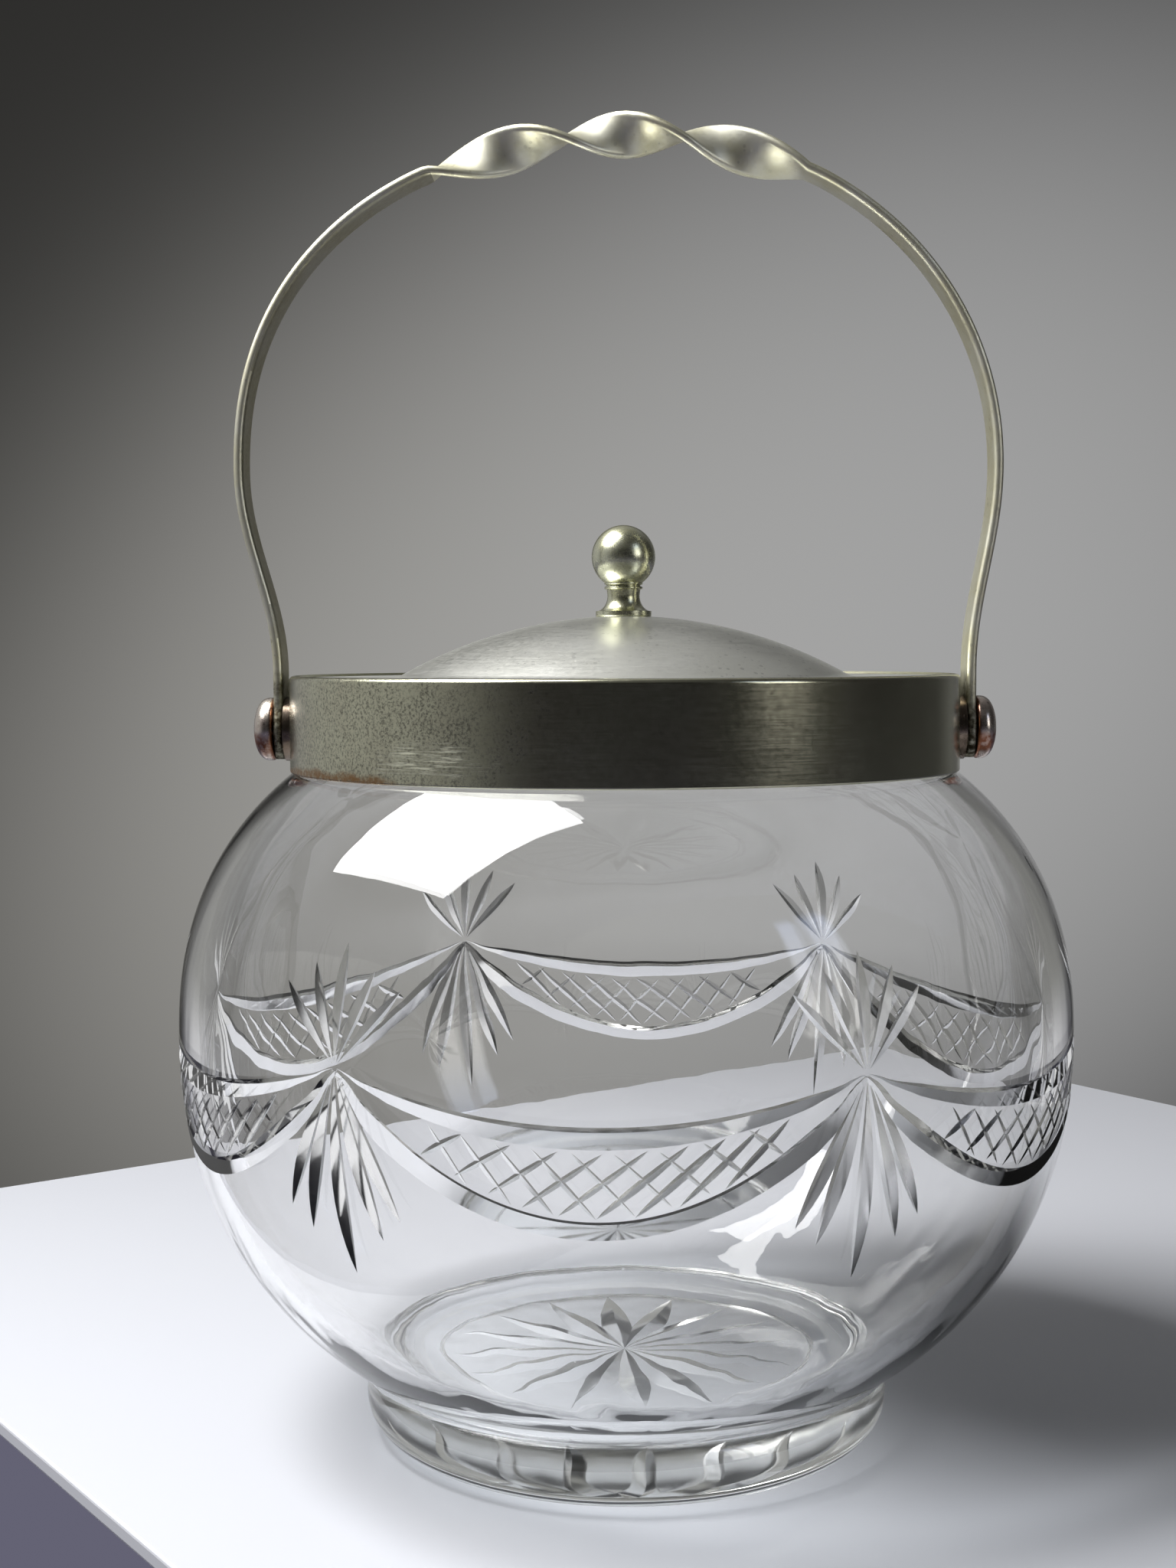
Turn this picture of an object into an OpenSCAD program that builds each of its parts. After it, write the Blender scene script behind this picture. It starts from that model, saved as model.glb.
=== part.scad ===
// Cut-glass biscuit jar with a plated collar, a domed lid and a twisted swing handle.
// Millimetres. +Z is up, the jar stands on Z = 0 and its axis is the Z axis.
// The handle's rivets lie on the X axis, and -Y is the front.

/* [Glass jar] */
// Radius of the belly at its widest ring
belly_r = 77.4; // [70:0.1:85]
// Height of the widest ring above the table
belly_z = 71; // [66:0.5:76]
// Thickness of the blown wall
glass_wall = 3.4; // [2.6:0.1:4.2]
// Height of the inside floor above the table
floor_z = 14; // [13:0.5:17]
// Radius of the foot at its widest
foot_r = 45.9; // [44.5:0.1:50]
// Height of the foot, up to the crease under the belly
foot_h = 11.3; // [9:0.1:12]
// Height of the foot's widest line
foot_edge_z = 6.5; // [4:0.1:8]
// Radius of the crease between foot and belly
waist_r = 43.5; // [41:0.1:44.4]
// Outer radius of the ring that the jar stands on
rest_r = 38.5; // [36.5:0.1:41]
// Width of the ring that the jar stands on
rest_w = 4; // [2:0.5:5]
// Depth of the ground hollow under the foot
pontil_depth = 1.2; // [0.6:0.1:2]

/* [Cut pattern] */
// Swags round the belly, with a fan of rays between each two
swags = 6; // [5:1:7]
// Turn of the pattern round the axis
pattern_turn = -3.3; // [-30:0.1:30]
// Height of the fans' hearts
fan_z = 76; // [74:0.5:79]
// Length of a fan's middle ray above its heart
ray_up = 18; // [14:0.5:20]
// Greatest width of that ray
ray_up_w = 2.3; // [1.6:0.1:2.8]
// Length of a fan's middle ray below its heart
ray_down = 31.5; // [24:0.5:34]
// Greatest width of that ray
ray_down_w = 3; // [2:0.1:3.4]
// How far below the hearts the bands run out
band_drop = 0.5; // [0.2:0.1:1.5]
// Height of the upper band's bottom line in the middle of a swag
band_high_z = 68.9; // [66:0.1:71]
// Height of the lower band's bottom line in the middle of a swag
band_low_z = 55.2; // [52:0.1:58]
// Width of both bands in the middle of a swag
band_w = 3.2; // [2:0.1:3.6]
// Width to which the upper band narrows at the fans
band_high_end_w = 0.7; // [0.5:0.1:2]
// Width to which the lower band grows at the fans, measured upright
band_low_end_w = 3.8; // [2.5:0.1:4.2]

/* [Neck and collar] */
// Outer radius of the plated collar
collar_r = 58; // [56:0.1:61]
// Height of the collar's lower edge above the table
collar_z = 115.9; // [112:0.1:120]
// Height of the collar band
collar_h = 15; // [14:0.1:19]
// Thickness of the collar's sheet metal
collar_wall = 0.9; // [0.6:0.1:1.1]
// Rounding of the collar's upper corner
collar_corner = 1; // [0.4:0.1:1.6]
// How far the collar stands out over the glass shoulder
collar_overhang = 0.6; // [0.2:0.1:0.8]
// Thickness of the plaster between glass neck and collar
plaster_t = 2.7; // [2.3:0.1:3.6]
// Thickness of the plaster between the glass rim and the collar's lip
rim_bed = 0.6; // [0.4:0.1:1]
// Thickness of the glass neck
neck_wall = 3; // [2.4:0.1:3.6]
// Chamfer on the two edges of the glass rim
rim_chamfer = 0.6; // [0.3:0.1:0.9]

/* [Lid] */
// Thickness of the lid's sheet metal
lid_t = 1; // [0.7:0.1:1.4]
// How far the lid's brim stays inside the collar's outer edge
brim_inset = 0.5; // [0.1:0.1:2]
// Height of the dome above the brim
dome_rise = 10.6; // [8:0.1:13]
// Radius of the dome's curve
dome_curve_r = 79; // [70:1:90]
// Radius of the hollow curve where the dome runs out into the brim
dome_foot_curve_r = 5; // [3:0.5:7]
// Radius of the flat at the top of the dome, where the knob sits
knob_seat_r = 5.2; // [5:0.1:6.5]
// Depth of the locating ring under the brim
bezel_h = 7; // [5:0.5:9]
// Thickness of the locating ring
bezel_t = 0.9; // [0.6:0.1:1.2]
// Gap between the locating ring and the glass neck
bezel_gap = 0.6; // [0.3:0.1:1]

/* [Knob] */
// Radius of the knob's ball
knob_ball_r = 5.55; // [4.8:0.05:6.5]
// Height of the ball's centre above the dome
knob_ball_z = 10.4; // [9.8:0.1:13]
// Radius of the bead below the ball
knob_bead_r = 3.35; // [3.1:0.05:3.8]
// Height of the bead's centre above the dome
knob_bead_z = 5.4; // [5:0.1:5.7]
// Radius of the knob's neck
knob_neck_r = 2.8; // [2.4:0.05:3]
// Radius of the knob's foot
knob_foot_r = 4.85; // [4.2:0.05:4.95]
// Thickness of the knob's foot at its rim
knob_foot_t = 1; // [0.6:0.1:1.3]
// Radius of the screwed stud
stud_r = 1.5; // [1.2:0.05:1.7]
// How far the stud reaches up into the knob
stud_up = 6; // [4:0.5:8]
// How far the stud stands out below its nut
stud_end = 1; // [0.5:0.1:1.5]
// Radius of the washer inside the dome
washer_r = 4.4; // [3.8:0.1:4.7]
// Thickness of that washer
washer_t = 0.8; // [0.5:0.1:1]
// Width of the nut across its flats
nut_flats = 5.5; // [5:0.1:6]
// Thickness of the nut
nut_h = 2.4; // [1.8:0.1:2.8]

/* [Handle] */
// Width of the handle's strip
strip_w = 8; // [6.5:0.1:9]
// Thickness of the handle's strip
strip_t = 1.7; // [1.2:0.1:2.2]
// Radius of the eye at each end of the strip
eye_r = 5.3; // [4.8:0.1:5.5]
// How far the bow swells out past its left eye
left_bulge = 6.4; // [3:0.1:10]
// How far the bow swells out past its right eye
right_bulge = 4.4; // [3:0.1:10]
// Length of the straight end above each rivet
bow_straight = 10; // [8:0.5:16]
// Height of the bow's widest points above the rivets
bow_wide_h = 45; // [40:0.5:52]
// Height of the bow's top above the rivets
bow_top_h = 102.1; // [96:0.1:108]
// Sideways place of the bow's top, as the strip was bent by hand
bow_top_x = 2.7; // [-4:0.1:4]
// Half of the twisted length, along X
twist_half = 32.5; // [28:0.5:36]
// Sideways place of the middle of the twist
twist_shift = -0.9; // [-2:0.1:2]
// How far the bow sinks at the two outer turns of the twist
twist_dip = 0.65; // [0:0.05:1]
// Half turns in the twist
half_turns = 3; // [1:1:5]

/* [Rivets] */
// Height of the rivets above the collar's lower edge
rivet_up = 7.1; // [6.3:0.1:7.9]
// Radius of the domed rivet head
rivet_head_r = 5.5; // [4.8:0.1:6]
// Height of the rivet head
rivet_head_h = 3.8; // [2.8:0.1:4.6]
// Radius of the rivet's shank
shank_r = 1.9; // [1.5:0.05:2.2]
// Radius of the spacing washer between handle and collar
spacer_r = 5.6; // [5:0.1:5.9]
// Thickness of that washer at its thinnest
spacer_t = 1.2; // [0.8:0.1:1.8]
// Radius of the burr washer inside the collar
burr_r = 3.3; // [3:0.1:3.8]
// Thickness of the burr washer
burr_t = 0.5; // [0.4:0.05:0.6]
// Radius of the hammered rivet tail
tail_r = 2.8; // [2.5:0.1:2.9]
// Height of the hammered rivet tail
tail_h = 0.9; // [0.6:0.05:1]

/* [Clearances] */
// Side play between the handle's eye, its washer and the rivet head
swivel_gap = 0.05; // [0.03:0.01:0.15]
// Radial play of a shank or stud in its hole
bore_gap = 0.05; // [0.03:0.01:0.1]
// Gap between the lid's brim and the collar it rests on
seat_gap = 0.05; // [0.02:0.01:0.15]
// Room around each burr washer in the plaster
pocket_gap = 0.2; // [0.1:0.05:0.4]

/* [Hidden] */
$fn = 96;
// Facets of the collar's curve where a washer is cut to it
seat_fn = 360;

// Roundness of the belly's outline, above and below its widest ring: 2 is an ellipse
belly_up_n = [2.28, 2.32];
belly_low_n = [2.16, 2.15];
inner_low_n = [2.4, 2.6];
// Steps in each stretch of an outline
belly_steps = 18;
edge_steps = 6;
bow_steps = 12;
twist_steps = 48;
// Steps along each ray and band
ray_steps = 5;
band_steps = 10;

// Rays of a fan above and below its heart, from the middle one outwards: how far the tip lies to the side
// and along, and the width, as parts of the middle ray's length and width
RAYS_UP = [[0, 1, 1], [0.333, 0.833, 0.957], [0.628, 0.667, 0.87]];
RAYS_DOWN = [[0, 1, 1], [0.229, 0.825, 0.967], [0.356, 0.73, 0.867]];
// How far a cut's upper and lower face spread for each millimetre of its depth
ray_spread = [1.4, 1.4];
band_spread = [0.95, 2.15];
// Part of a ray's length at which its cut begins
ray_start = 0.08;
// How far a cut's body stands out of the glass, and how far its ends do
cut_lift = 0.3;
cut_end = 0.05;

// Heights
collar_top = collar_z + collar_h;
lip_under = collar_top - collar_wall;
neck_top = lip_under - rim_bed;
rivet_z = collar_z + rivet_up;
brim_under = collar_top + seat_gap;
brim_top = brim_under + lid_t;

// Radii at the neck, from the collar inwards
shoulder_r = collar_r - collar_overhang;
collar_in_r = collar_r - collar_wall;
neck_r = collar_in_r - plaster_t;
neck_in_r = neck_r - neck_wall;
belly_in_r = belly_r - glass_wall;
bezel_r = neck_in_r - bezel_gap;
brim_r = collar_r - brim_inset;

// The dome's curve: its centre, the top of the knob's seat and the start of the flat brim
dome_centre_z = brim_top + dome_rise - dome_curve_r;
knob_seat_z = dome_centre_z + sqrt(pow(dome_curve_r, 2) - pow(knob_seat_r, 2));
dome_foot_z = brim_top + dome_foot_curve_r;
dome_foot_r = sqrt(pow(dome_curve_r + dome_foot_curve_r, 2) - pow(dome_foot_z - dome_centre_z, 2));
dome_foot_angle = asin(dome_foot_r / (dome_curve_r + dome_foot_curve_r));

// The stack under the dome
washer_top = knob_seat_z - lid_t;
nut_top = washer_top - washer_t;
stud_bottom = nut_top - nut_h - stud_end;

// The stack along each rivet, as distances from the jar's axis
spacer_x = collar_r + spacer_t;
eye_x0 = spacer_x + swivel_gap;
eye_x1 = eye_x0 + strip_t;
head_x = eye_x1 + swivel_gap;
burr_x = sqrt(pow(collar_in_r, 2) - pow(burr_r, 2)) - burr_t;
tail_seat_x = burr_x;

// The bow's centre line
bow_x = (eye_x0 + eye_x1) / 2;
bow_wide_z = rivet_z + bow_wide_h;
bow_arch_h = bow_top_h - bow_wide_h;
left_bow_n = 2.24;
right_bow_n = 2.05;
twist_ease = 0.1;
// Place and half width of each dip, as parts of twist_half
dip_at = 0.72;
dip_half = 0.375;

// A point of a rounded outline: [0, 0] is its widest point at 0 degrees, r is the radius there and
// h the height that it would reach on the axis
function rounded(r, h, n, a) = [r * pow(cos(a), 2 / n[0]), h * pow(sin(a), 2 / n[1])];

// The angle at which such an outline has come in to radius r_end
function rounded_end(r, r_end, n) = acos(pow(r_end / r, n[0] / 2));

// Half height of the outline that passes r_end at height dz
function rounded_h(r, r_end, n, dz) = dz / pow(1 - pow(r_end / r, n[0]), 1 / n[1]);

// The stretch of such an outline from its widest ring at z0 to radius r_end at z1, upwards or downwards
function rounded_run(r, z0, r_end, z1, n) =
    let (h = rounded_h(r, r_end, n, abs(z1 - z0)), end = rounded_end(r, r_end, n), way = sign(z1 - z0))
    [for (i = [0 : belly_steps]) let (p = rounded(r, h, n, end * i / belly_steps)) [p[0], z0 + way * p[1]]];

// A quarter of an ellipse between the angles a0 and a1
function quarter(centre, rx, rz, a0, a1) =
    [for (i = [0 : edge_steps]) let (a = a0 + (a1 - a0) * i / edge_steps) centre + [rx * cos(a), rz * sin(a)]];

function backwards(list) = [for (i = [len(list) - 1 : -1 : 0]) list[i]];

function drop_last(list) = [for (i = [0 : len(list) - 2]) list[i]];

// Turns a solid of revolution so that its axis lies along +X
module along_x() {
    rotate([90, 0, 90]) children();
}

// Puts the children at the right-hand rivet (side 1) or, mirrored, at the left-hand one (side -1)
module at_rivet(side) {
    mirror([side < 0 ? 1 : 0, 0, 0]) translate([0, 0, rivet_z]) children();
}

// Radius of the belly's outside at height z
function belly_at(z) =
    let (n = z > belly_z ? belly_up_n : belly_low_n)
    let (end = z > belly_z ? [shoulder_r, collar_z] : [waist_r, foot_h])
    let (h = rounded_h(belly_r, end[0], n, abs(end[1] - belly_z)))
    belly_r * pow(1 - pow(abs(z - belly_z) / h, n[1]), 1 / n[0]);

// A place on the belly at an angle from the front, and the outward normal there
function skin(a, z) =
    let (out = [sin(a), -cos(a), 0], lean = [0, 0, (belly_at(z + 0.1) - belly_at(z - 0.1)) / 0.2])
    [out * belly_at(z) + [0, 0, z], (out - lean) / norm(out - lean)];

// The three corners of a V cut at one of its places: its bottom and the two edges above the glass
function cut_section(line, i, depth, spread) =
    let (
        last = len(line) - 1,
        ahead = line[min(i + 1, last)][0] - line[max(i - 1, 0)][0],
        side = cross(line[i][1], ahead),
        top = line[i][0] + line[i][1] * cut_lift,
        across = side / norm(side) * (cut_lift + depth)
    )
    [line[i][0] - line[i][1] * depth, top + across * spread[0], top - across * spread[1]];

// What the wheel takes out along a line of places
module cut(line, depths, spread) {
    steps = len(line) - 1;
    sides = [for (i = [0 : steps - 1], k = [0 : 2])
        let (a = 3 * i + k, b = 3 * i + (k + 1) % 3) each [[b, a, a + 3], [b, a + 3, b + 3]]];
    caps = [[0, 1, 2], [for (k = [2 : -1 : 0]) 3 * steps + k]];
    polyhedron(
        points = [for (i = [0 : steps]) each cut_section(line, i, depths[i], spread)],
        faces = concat(sides, caps)
    );
}

// A pointed leaf from the heart of a fan to its tip, widest past its middle
module ray(fan, tip, w) {
    parts = [for (i = [0 : ray_steps]) ray_start + (1 - ray_start) * i / ray_steps];
    line = [for (t = parts) skin(fan + tip[0] * t / belly_r * 180 / PI, fan_z + tip[1] * t)];
    deepest = w / (ray_spread[0] + ray_spread[1]);
    shape = [for (t = parts) t > ray_start ? pow(max(0, sin(180 * pow(t, 1.3))), 0.85) : 0];
    depths = [for (s = shape) deepest * s - cut_end];
    cut(line, depths, ray_spread);
}

// The rays of a fan to one side of its heart: upwards, or downwards where the length is below 0
module rays(fan, list, length, w) {
    for (r = list, side = r[0] > 0 ? [-1, 1] : [1])
        ray(fan, [side * r[0] * abs(length), r[1] * length], r[2] * w);
}

// A long line that hangs from fan to fan and fades out at both
module band(swag, low_z, end_w) {
    half = 180 / swags;
    parts = [for (i = [0 : band_steps]) 2 * i / band_steps - 1];
    line = [for (t = parts) skin(swag + half * t, low_z + (fan_z - band_drop - low_z) * t * t)];
    widths = [for (t = parts) abs(t) > 0.99 ? 0 : band_w + (end_w - band_w) * t * t];
    cut(line, [for (w = widths) w / (band_spread[0] + band_spread[1]) - cut_end], band_spread);
}

// Everything that is cut out of the belly
module pattern() {
    for (k = [0 : swags - 1]) {
        swag = pattern_turn + 360 / swags * k;
        band(swag, band_high_z, band_high_end_w);
        band(swag, band_low_z, band_low_end_w);
        rays(swag - 180 / swags, RAYS_UP, ray_up, ray_up_w);
        rays(swag - 180 / swags, RAYS_DOWN, -ray_down, ray_down_w);
    }
}

// Foot, belly and neck in one piece of glass, with the pattern cut into it
module glass_jar() {
    foot_under = [[0, pontil_depth], [rest_r - rest_w - pontil_depth, pontil_depth], [rest_r - rest_w, 0]];
    foot_low = quarter([rest_r, foot_edge_z], foot_r - rest_r, foot_edge_z, -90, 0);
    foot_high = quarter([waist_r, foot_edge_z], foot_r - waist_r, foot_h - foot_edge_z, 0, 90);
    belly_low = backwards(rounded_run(belly_r, belly_z, waist_r, foot_h, belly_low_n));
    belly_up = rounded_run(belly_r, belly_z, shoulder_r, collar_z, belly_up_n);
    rim = [
        [neck_r, collar_z], [neck_r, neck_top - rim_chamfer], [neck_r - rim_chamfer, neck_top],
        [neck_in_r + rim_chamfer, neck_top], [neck_in_r, neck_top - rim_chamfer]
    ];
    inside_up = backwards(rounded_run(belly_in_r, belly_z, neck_in_r, collar_z + 1, belly_up_n));
    inside_low = drop_last(rounded_run(belly_in_r, belly_z, 0, floor_z, inner_low_n));
    color("lightcyan", 0.5) difference() {
        rotate_extrude() polygon(concat(
            foot_under, foot_low, drop_last(foot_high), drop_last(belly_low), belly_up, rim,
            drop_last(inside_up), inside_low, [[0, floor_z]]
        ));
        pattern();
    }
}

// Plaster that beds the collar on the neck, with a pocket behind each rivet
module plaster_bed() {
    color("white") difference() {
        rotate_extrude() polygon([
            [neck_r, collar_z], [collar_in_r, collar_z], [collar_in_r, lip_under],
            [neck_in_r + rim_chamfer, lip_under], [neck_in_r + rim_chamfer, neck_top],
            [neck_r - rim_chamfer, neck_top], [neck_r, neck_top - rim_chamfer]
        ]);
        for (side = [-1, 1])
            at_rivet(side) along_x() cylinder(r = burr_r + pocket_gap, h = collar_r);
    }
}

// Plated band with a lip turned in over the glass rim
module collar() {
    corner = quarter([collar_r - collar_corner, collar_top - collar_corner], collar_corner, collar_corner, 0, 90);
    color("darkkhaki") difference() {
        rotate_extrude() polygon(concat(
            [[collar_in_r, collar_z], [collar_r, collar_z]], corner,
            [[neck_in_r, collar_top], [neck_in_r, lip_under], [collar_in_r, lip_under]]
        ));
        for (side = [-1, 1])
            at_rivet(side) along_x() cylinder(r = shank_r + bore_gap, h = collar_r + collar_wall);
    }
}

// Domed head outside, shank through eye, washer and collar, hammered tail inside
module rivet(side) {
    cap_r = (pow(rivet_head_r, 2) + pow(rivet_head_h, 2)) / (2 * rivet_head_h);
    cap_angle = asin(rivet_head_r / cap_r);
    cap_end = rivet_head_h > rivet_head_r ? 180 - cap_angle : cap_angle;
    dome = [for (i = [0 : 10])
        let (a = cap_end * (1 - i / 10)) [cap_r * sin(a), head_x + rivet_head_h - cap_r + cap_r * cos(a)]];
    tail = [[0, tail_seat_x - tail_h], [tail_r / 2, tail_seat_x - tail_h], [tail_r, tail_seat_x - tail_h / 2]];
    color("darkkhaki") at_rivet(side) along_x() rotate_extrude() polygon(concat(
        tail, [[tail_r, tail_seat_x], [shank_r, tail_seat_x], [shank_r, head_x]], dome
    ));
}

// Washer that keeps the handle's eye off the collar, hollowed to the collar's curve
module spacer(side) {
    color("silver") difference() {
        at_rivet(side) along_x() cylinder(r = spacer_r, h = spacer_x);
        translate([0, 0, collar_z]) cylinder(r = collar_r, h = collar_h, $fn = seat_fn);
        at_rivet(side) along_x() cylinder(r = shank_r + bore_gap, h = spacer_x + 1);
    }
}

// Washer under the rivet's tail, against the inside of the collar
module burr(side) {
    color("peru") difference() {
        intersection() {
            at_rivet(side) translate([burr_x, 0, 0]) along_x() cylinder(r = burr_r, h = collar_wall + burr_t);
            translate([0, 0, collar_z]) cylinder(r = collar_in_r, h = collar_h, $fn = seat_fn);
        }
        at_rivet(side) along_x() cylinder(r = shank_r + bore_gap, h = collar_r);
    }
}

// The bow's centre line in the XZ plane: each half (side -1 or 1) is a leg that swells out to its widest
// point and a rounded shoulder, and the two shoulders meet at the top
function bulge(side) = side < 0 ? left_bulge : right_bulge;

function bow_n(side) = side < 0 ? left_bow_n : right_bow_n;

function arch_w(side) = bow_x + bulge(side) - side * bow_top_x;

function arch_point(side, a) =
    let (n = bow_n(side))
    [bow_top_x + side * arch_w(side) * pow(cos(a), 2 / n), bow_wide_z + bow_arch_h * pow(sin(a), 2 / n)];

function arch_at(x) =
    let (side = x < bow_top_x ? -1 : 1)
    arch_point(side, acos(pow(abs(x - bow_top_x) / arch_w(side), bow_n(side) / 2)));

function leg_point(side, v) = [
    side * (bow_x + bulge(side) * (1 - cos(180 * v)) / 2),
    bow_wide_z - (bow_wide_h - bow_straight) * (1 - v)
];

function bow_half(side) =
    let (end = side * (twist_shift - bow_top_x) + twist_half + 1)
    let (end_angle = acos(pow(end / arch_w(side), bow_n(side) / 2)))
    concat(
        [[side * bow_x, rivet_z]],
        [for (i = [0 : bow_steps]) leg_point(side, i / bow_steps)],
        [for (i = [1 : bow_steps]) arch_point(side, end_angle * i / bow_steps)]
    );

function dip(x) =
    let (u = (abs(x - twist_shift) / twist_half - dip_at) / dip_half)
    abs(u) < 1 ? twist_dip * pow(cos(90 * u), 2) : 0;

bow_top = [for (i = [0 : twist_steps]) arch_at(twist_shift + twist_half * (2 * i / twist_steps - 1))];
bow_line = [for (p = concat(bow_half(-1), bow_top, backwards(bow_half(1)))) p - [0, dip(p[0])]];

// Turn of the strip at x: 0 before the twist, half_turns * 180 after it
function twist_at(x) =
    let (v = min(1, max(0, (x - twist_shift + twist_half) / (2 * twist_half))))
    180 * half_turns * (v - twist_ease * sin(360 * v) / 360 * 180 / PI);

// The strip's four corners at one point of the centre line
function strip_ring(i) =
    let (
        last = len(bow_line) - 1,
        p = bow_line[i],
        run = bow_line[min(i + 1, last)] - bow_line[max(i - 1, 0)],
        along = i == 0 ? [0, 1] : i == last ? [0, -1] : run / norm(run),
        across = [-along[1], 0, along[0]],
        turn = twist_at(p[0]),
        wide = [0, 1, 0] * cos(turn) + across * sin(turn),
        thick = across * cos(turn) - [0, 1, 0] * sin(turn)
    )
    [for (c = [[-1, -1], [1, -1], [1, 1], [-1, 1]])
        [p[0], 0, p[1]] + wide * c[0] * strip_w / 2 + thick * c[1] * strip_t / 2];

module strip() {
    rings = len(bow_line);
    sides = [for (i = [0 : rings - 2], k = [0 : 3])
        let (a = 4 * i + k, b = 4 * i + (k + 1) % 4) each [[a, b + 4, b], [a, a + 4, b + 4]]];
    caps = [[0, 1, 2, 3], [for (k = [3 : -1 : 0]) 4 * (rings - 1) + k]];
    polyhedron(points = [for (i = [0 : rings - 1]) each strip_ring(i)], faces = concat(sides, caps));
}

// Flat strip with an eye at each end, twisted over the top
module handle() {
    color("gainsboro") difference() {
        union() {
            strip();
            for (side = [-1, 1])
                at_rivet(side) translate([eye_x0, 0, 0]) along_x() cylinder(r = eye_r, h = strip_t);
        }
        for (side = [-1, 1])
            at_rivet(side) along_x() cylinder(r = shank_r + bore_gap, h = head_x);
    }
}

// The dome's section, grown inwards by depth: 0 is its outside, lid_t its inside
function dome_points(depth) =
    let (
        r = dome_curve_r - depth,
        foot = dome_foot_curve_r + depth,
        flat_r = sqrt(pow(r, 2) - pow(knob_seat_z - depth - dome_centre_z, 2)),
        top_angle = asin(flat_r / r)
    )
    concat(
        [for (i = [0 : belly_steps])
            let (a = top_angle + (dome_foot_angle - top_angle) * i / belly_steps)
            [r * sin(a), dome_centre_z + r * cos(a)]],
        [for (i = [1 : edge_steps])
            let (a = dome_foot_angle * (1 - i / edge_steps))
            [dome_foot_r - foot * sin(a), dome_foot_z - foot * cos(a)]]
    );

// Spun dome with a flat brim
module lid() {
    edge = quarter([brim_r - lid_t / 2, brim_under + lid_t / 2], lid_t / 2, lid_t / 2, 90, -90);
    hole_r = stud_r + bore_gap;
    color("darkkhaki") rotate_extrude() polygon(concat(
        [[hole_r, knob_seat_z - lid_t], [hole_r, knob_seat_z]], dome_points(0), edge,
        backwards(dome_points(lid_t))
    ));
}

// Ring soldered under the brim, which drops into the neck
module lid_bezel() {
    color("darkkhaki") rotate_extrude() translate([bezel_r - bezel_t, brim_under - bezel_h])
        square([bezel_t, bezel_h]);
}

// Turned ball knob with a bead, a neck and a spread foot
module knob() {
    hole_r = stud_r + bore_gap;
    bead_half = 0.65;
    ball_low = 180 - asin(knob_neck_r / knob_ball_r);
    neck_z0 = knob_bead_z - bead_half - 1;
    foot_curve_z = neck_z0 - knob_foot_t;
    foot_curve = [for (i = [0 : edge_steps])
        let (a = 90 * i / edge_steps)
        [knob_foot_r - (knob_foot_r - knob_neck_r) * sin(a), neck_z0 - foot_curve_z * cos(a)]];
    bead = quarter([knob_neck_r, knob_bead_z], knob_bead_r - knob_neck_r, bead_half, -90, 90);
    ball = [for (i = [0 : belly_steps])
        let (a = ball_low * (1 - i / belly_steps)) [knob_ball_r * sin(a), knob_ball_z + knob_ball_r * cos(a)]];
    color("darkkhaki") translate([0, 0, knob_seat_z]) difference() {
        rotate_extrude() polygon(concat([[0, 0], [knob_foot_r, 0]], foot_curve, bead, ball));
        translate([0, 0, -1]) cylinder(r = hole_r, h = stud_up + 1 + bore_gap);
    }
}

module knob_stud() {
    color("silver") translate([0, 0, stud_bottom]) cylinder(r = stud_r, h = knob_seat_z + stud_up - stud_bottom);
}

module knob_washer() {
    color("silver") translate([0, 0, nut_top]) difference() {
        cylinder(r = washer_r, h = washer_t);
        translate([0, 0, -1]) cylinder(r = stud_r + bore_gap, h = washer_t + 2);
    }
}

module knob_nut() {
    color("peru") translate([0, 0, nut_top - nut_h]) difference() {
        cylinder(r = nut_flats / sqrt(3), h = nut_h, $fn = 6);
        translate([0, 0, -1]) cylinder(r = stud_r + bore_gap, h = nut_h + 2);
    }
}

glass_jar();
plaster_bed();
collar();
handle();
rivet(-1);  // rivet_left
rivet(1);  // rivet_right
spacer(-1);  // spacer_left
spacer(1);  // spacer_right
burr(-1);  // burr_left
burr(1);  // burr_right
lid();
lid_bezel();
knob();
knob_stud();
knob_washer();
knob_nut();
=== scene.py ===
"""The finished look of a cut glass biscuit jar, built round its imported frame.

A piece is made in millimetres on the bench and scaled to metres when it is mounted on its body.
Azimuths are degrees round the jar's axis, from the front (-Y) towards +X.
"""

import logging
import math
import random
from dataclasses import dataclass, field
from enum import Enum
from typing import Iterable, Sequence

import bmesh
import bpy
import numpy as np
from mathutils import Matrix, Vector


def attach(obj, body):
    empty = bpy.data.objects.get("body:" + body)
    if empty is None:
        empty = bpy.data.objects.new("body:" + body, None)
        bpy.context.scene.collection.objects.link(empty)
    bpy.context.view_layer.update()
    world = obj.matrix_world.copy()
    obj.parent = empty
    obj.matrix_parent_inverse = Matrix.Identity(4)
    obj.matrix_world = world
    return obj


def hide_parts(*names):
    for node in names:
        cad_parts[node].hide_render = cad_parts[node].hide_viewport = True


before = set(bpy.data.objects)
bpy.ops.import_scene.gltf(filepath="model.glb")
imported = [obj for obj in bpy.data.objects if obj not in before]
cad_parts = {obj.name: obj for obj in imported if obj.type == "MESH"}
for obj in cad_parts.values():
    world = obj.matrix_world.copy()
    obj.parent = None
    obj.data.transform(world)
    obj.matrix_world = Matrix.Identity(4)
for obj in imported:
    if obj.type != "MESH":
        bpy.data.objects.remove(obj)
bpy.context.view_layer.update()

MM = 0.001
TOUCHING = 1e-3  # millimetres within which two points are one
CLEAR = 0.05  # millimetres by which a wheel stays off the glass at the ends of its cut
LYING_ALONG = 0.75  # the least cosine between a face's normal and its outline's
FACING_IN = 0.5  # the least cosine between the normal of the handle's inner face and the way to its heart
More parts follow.
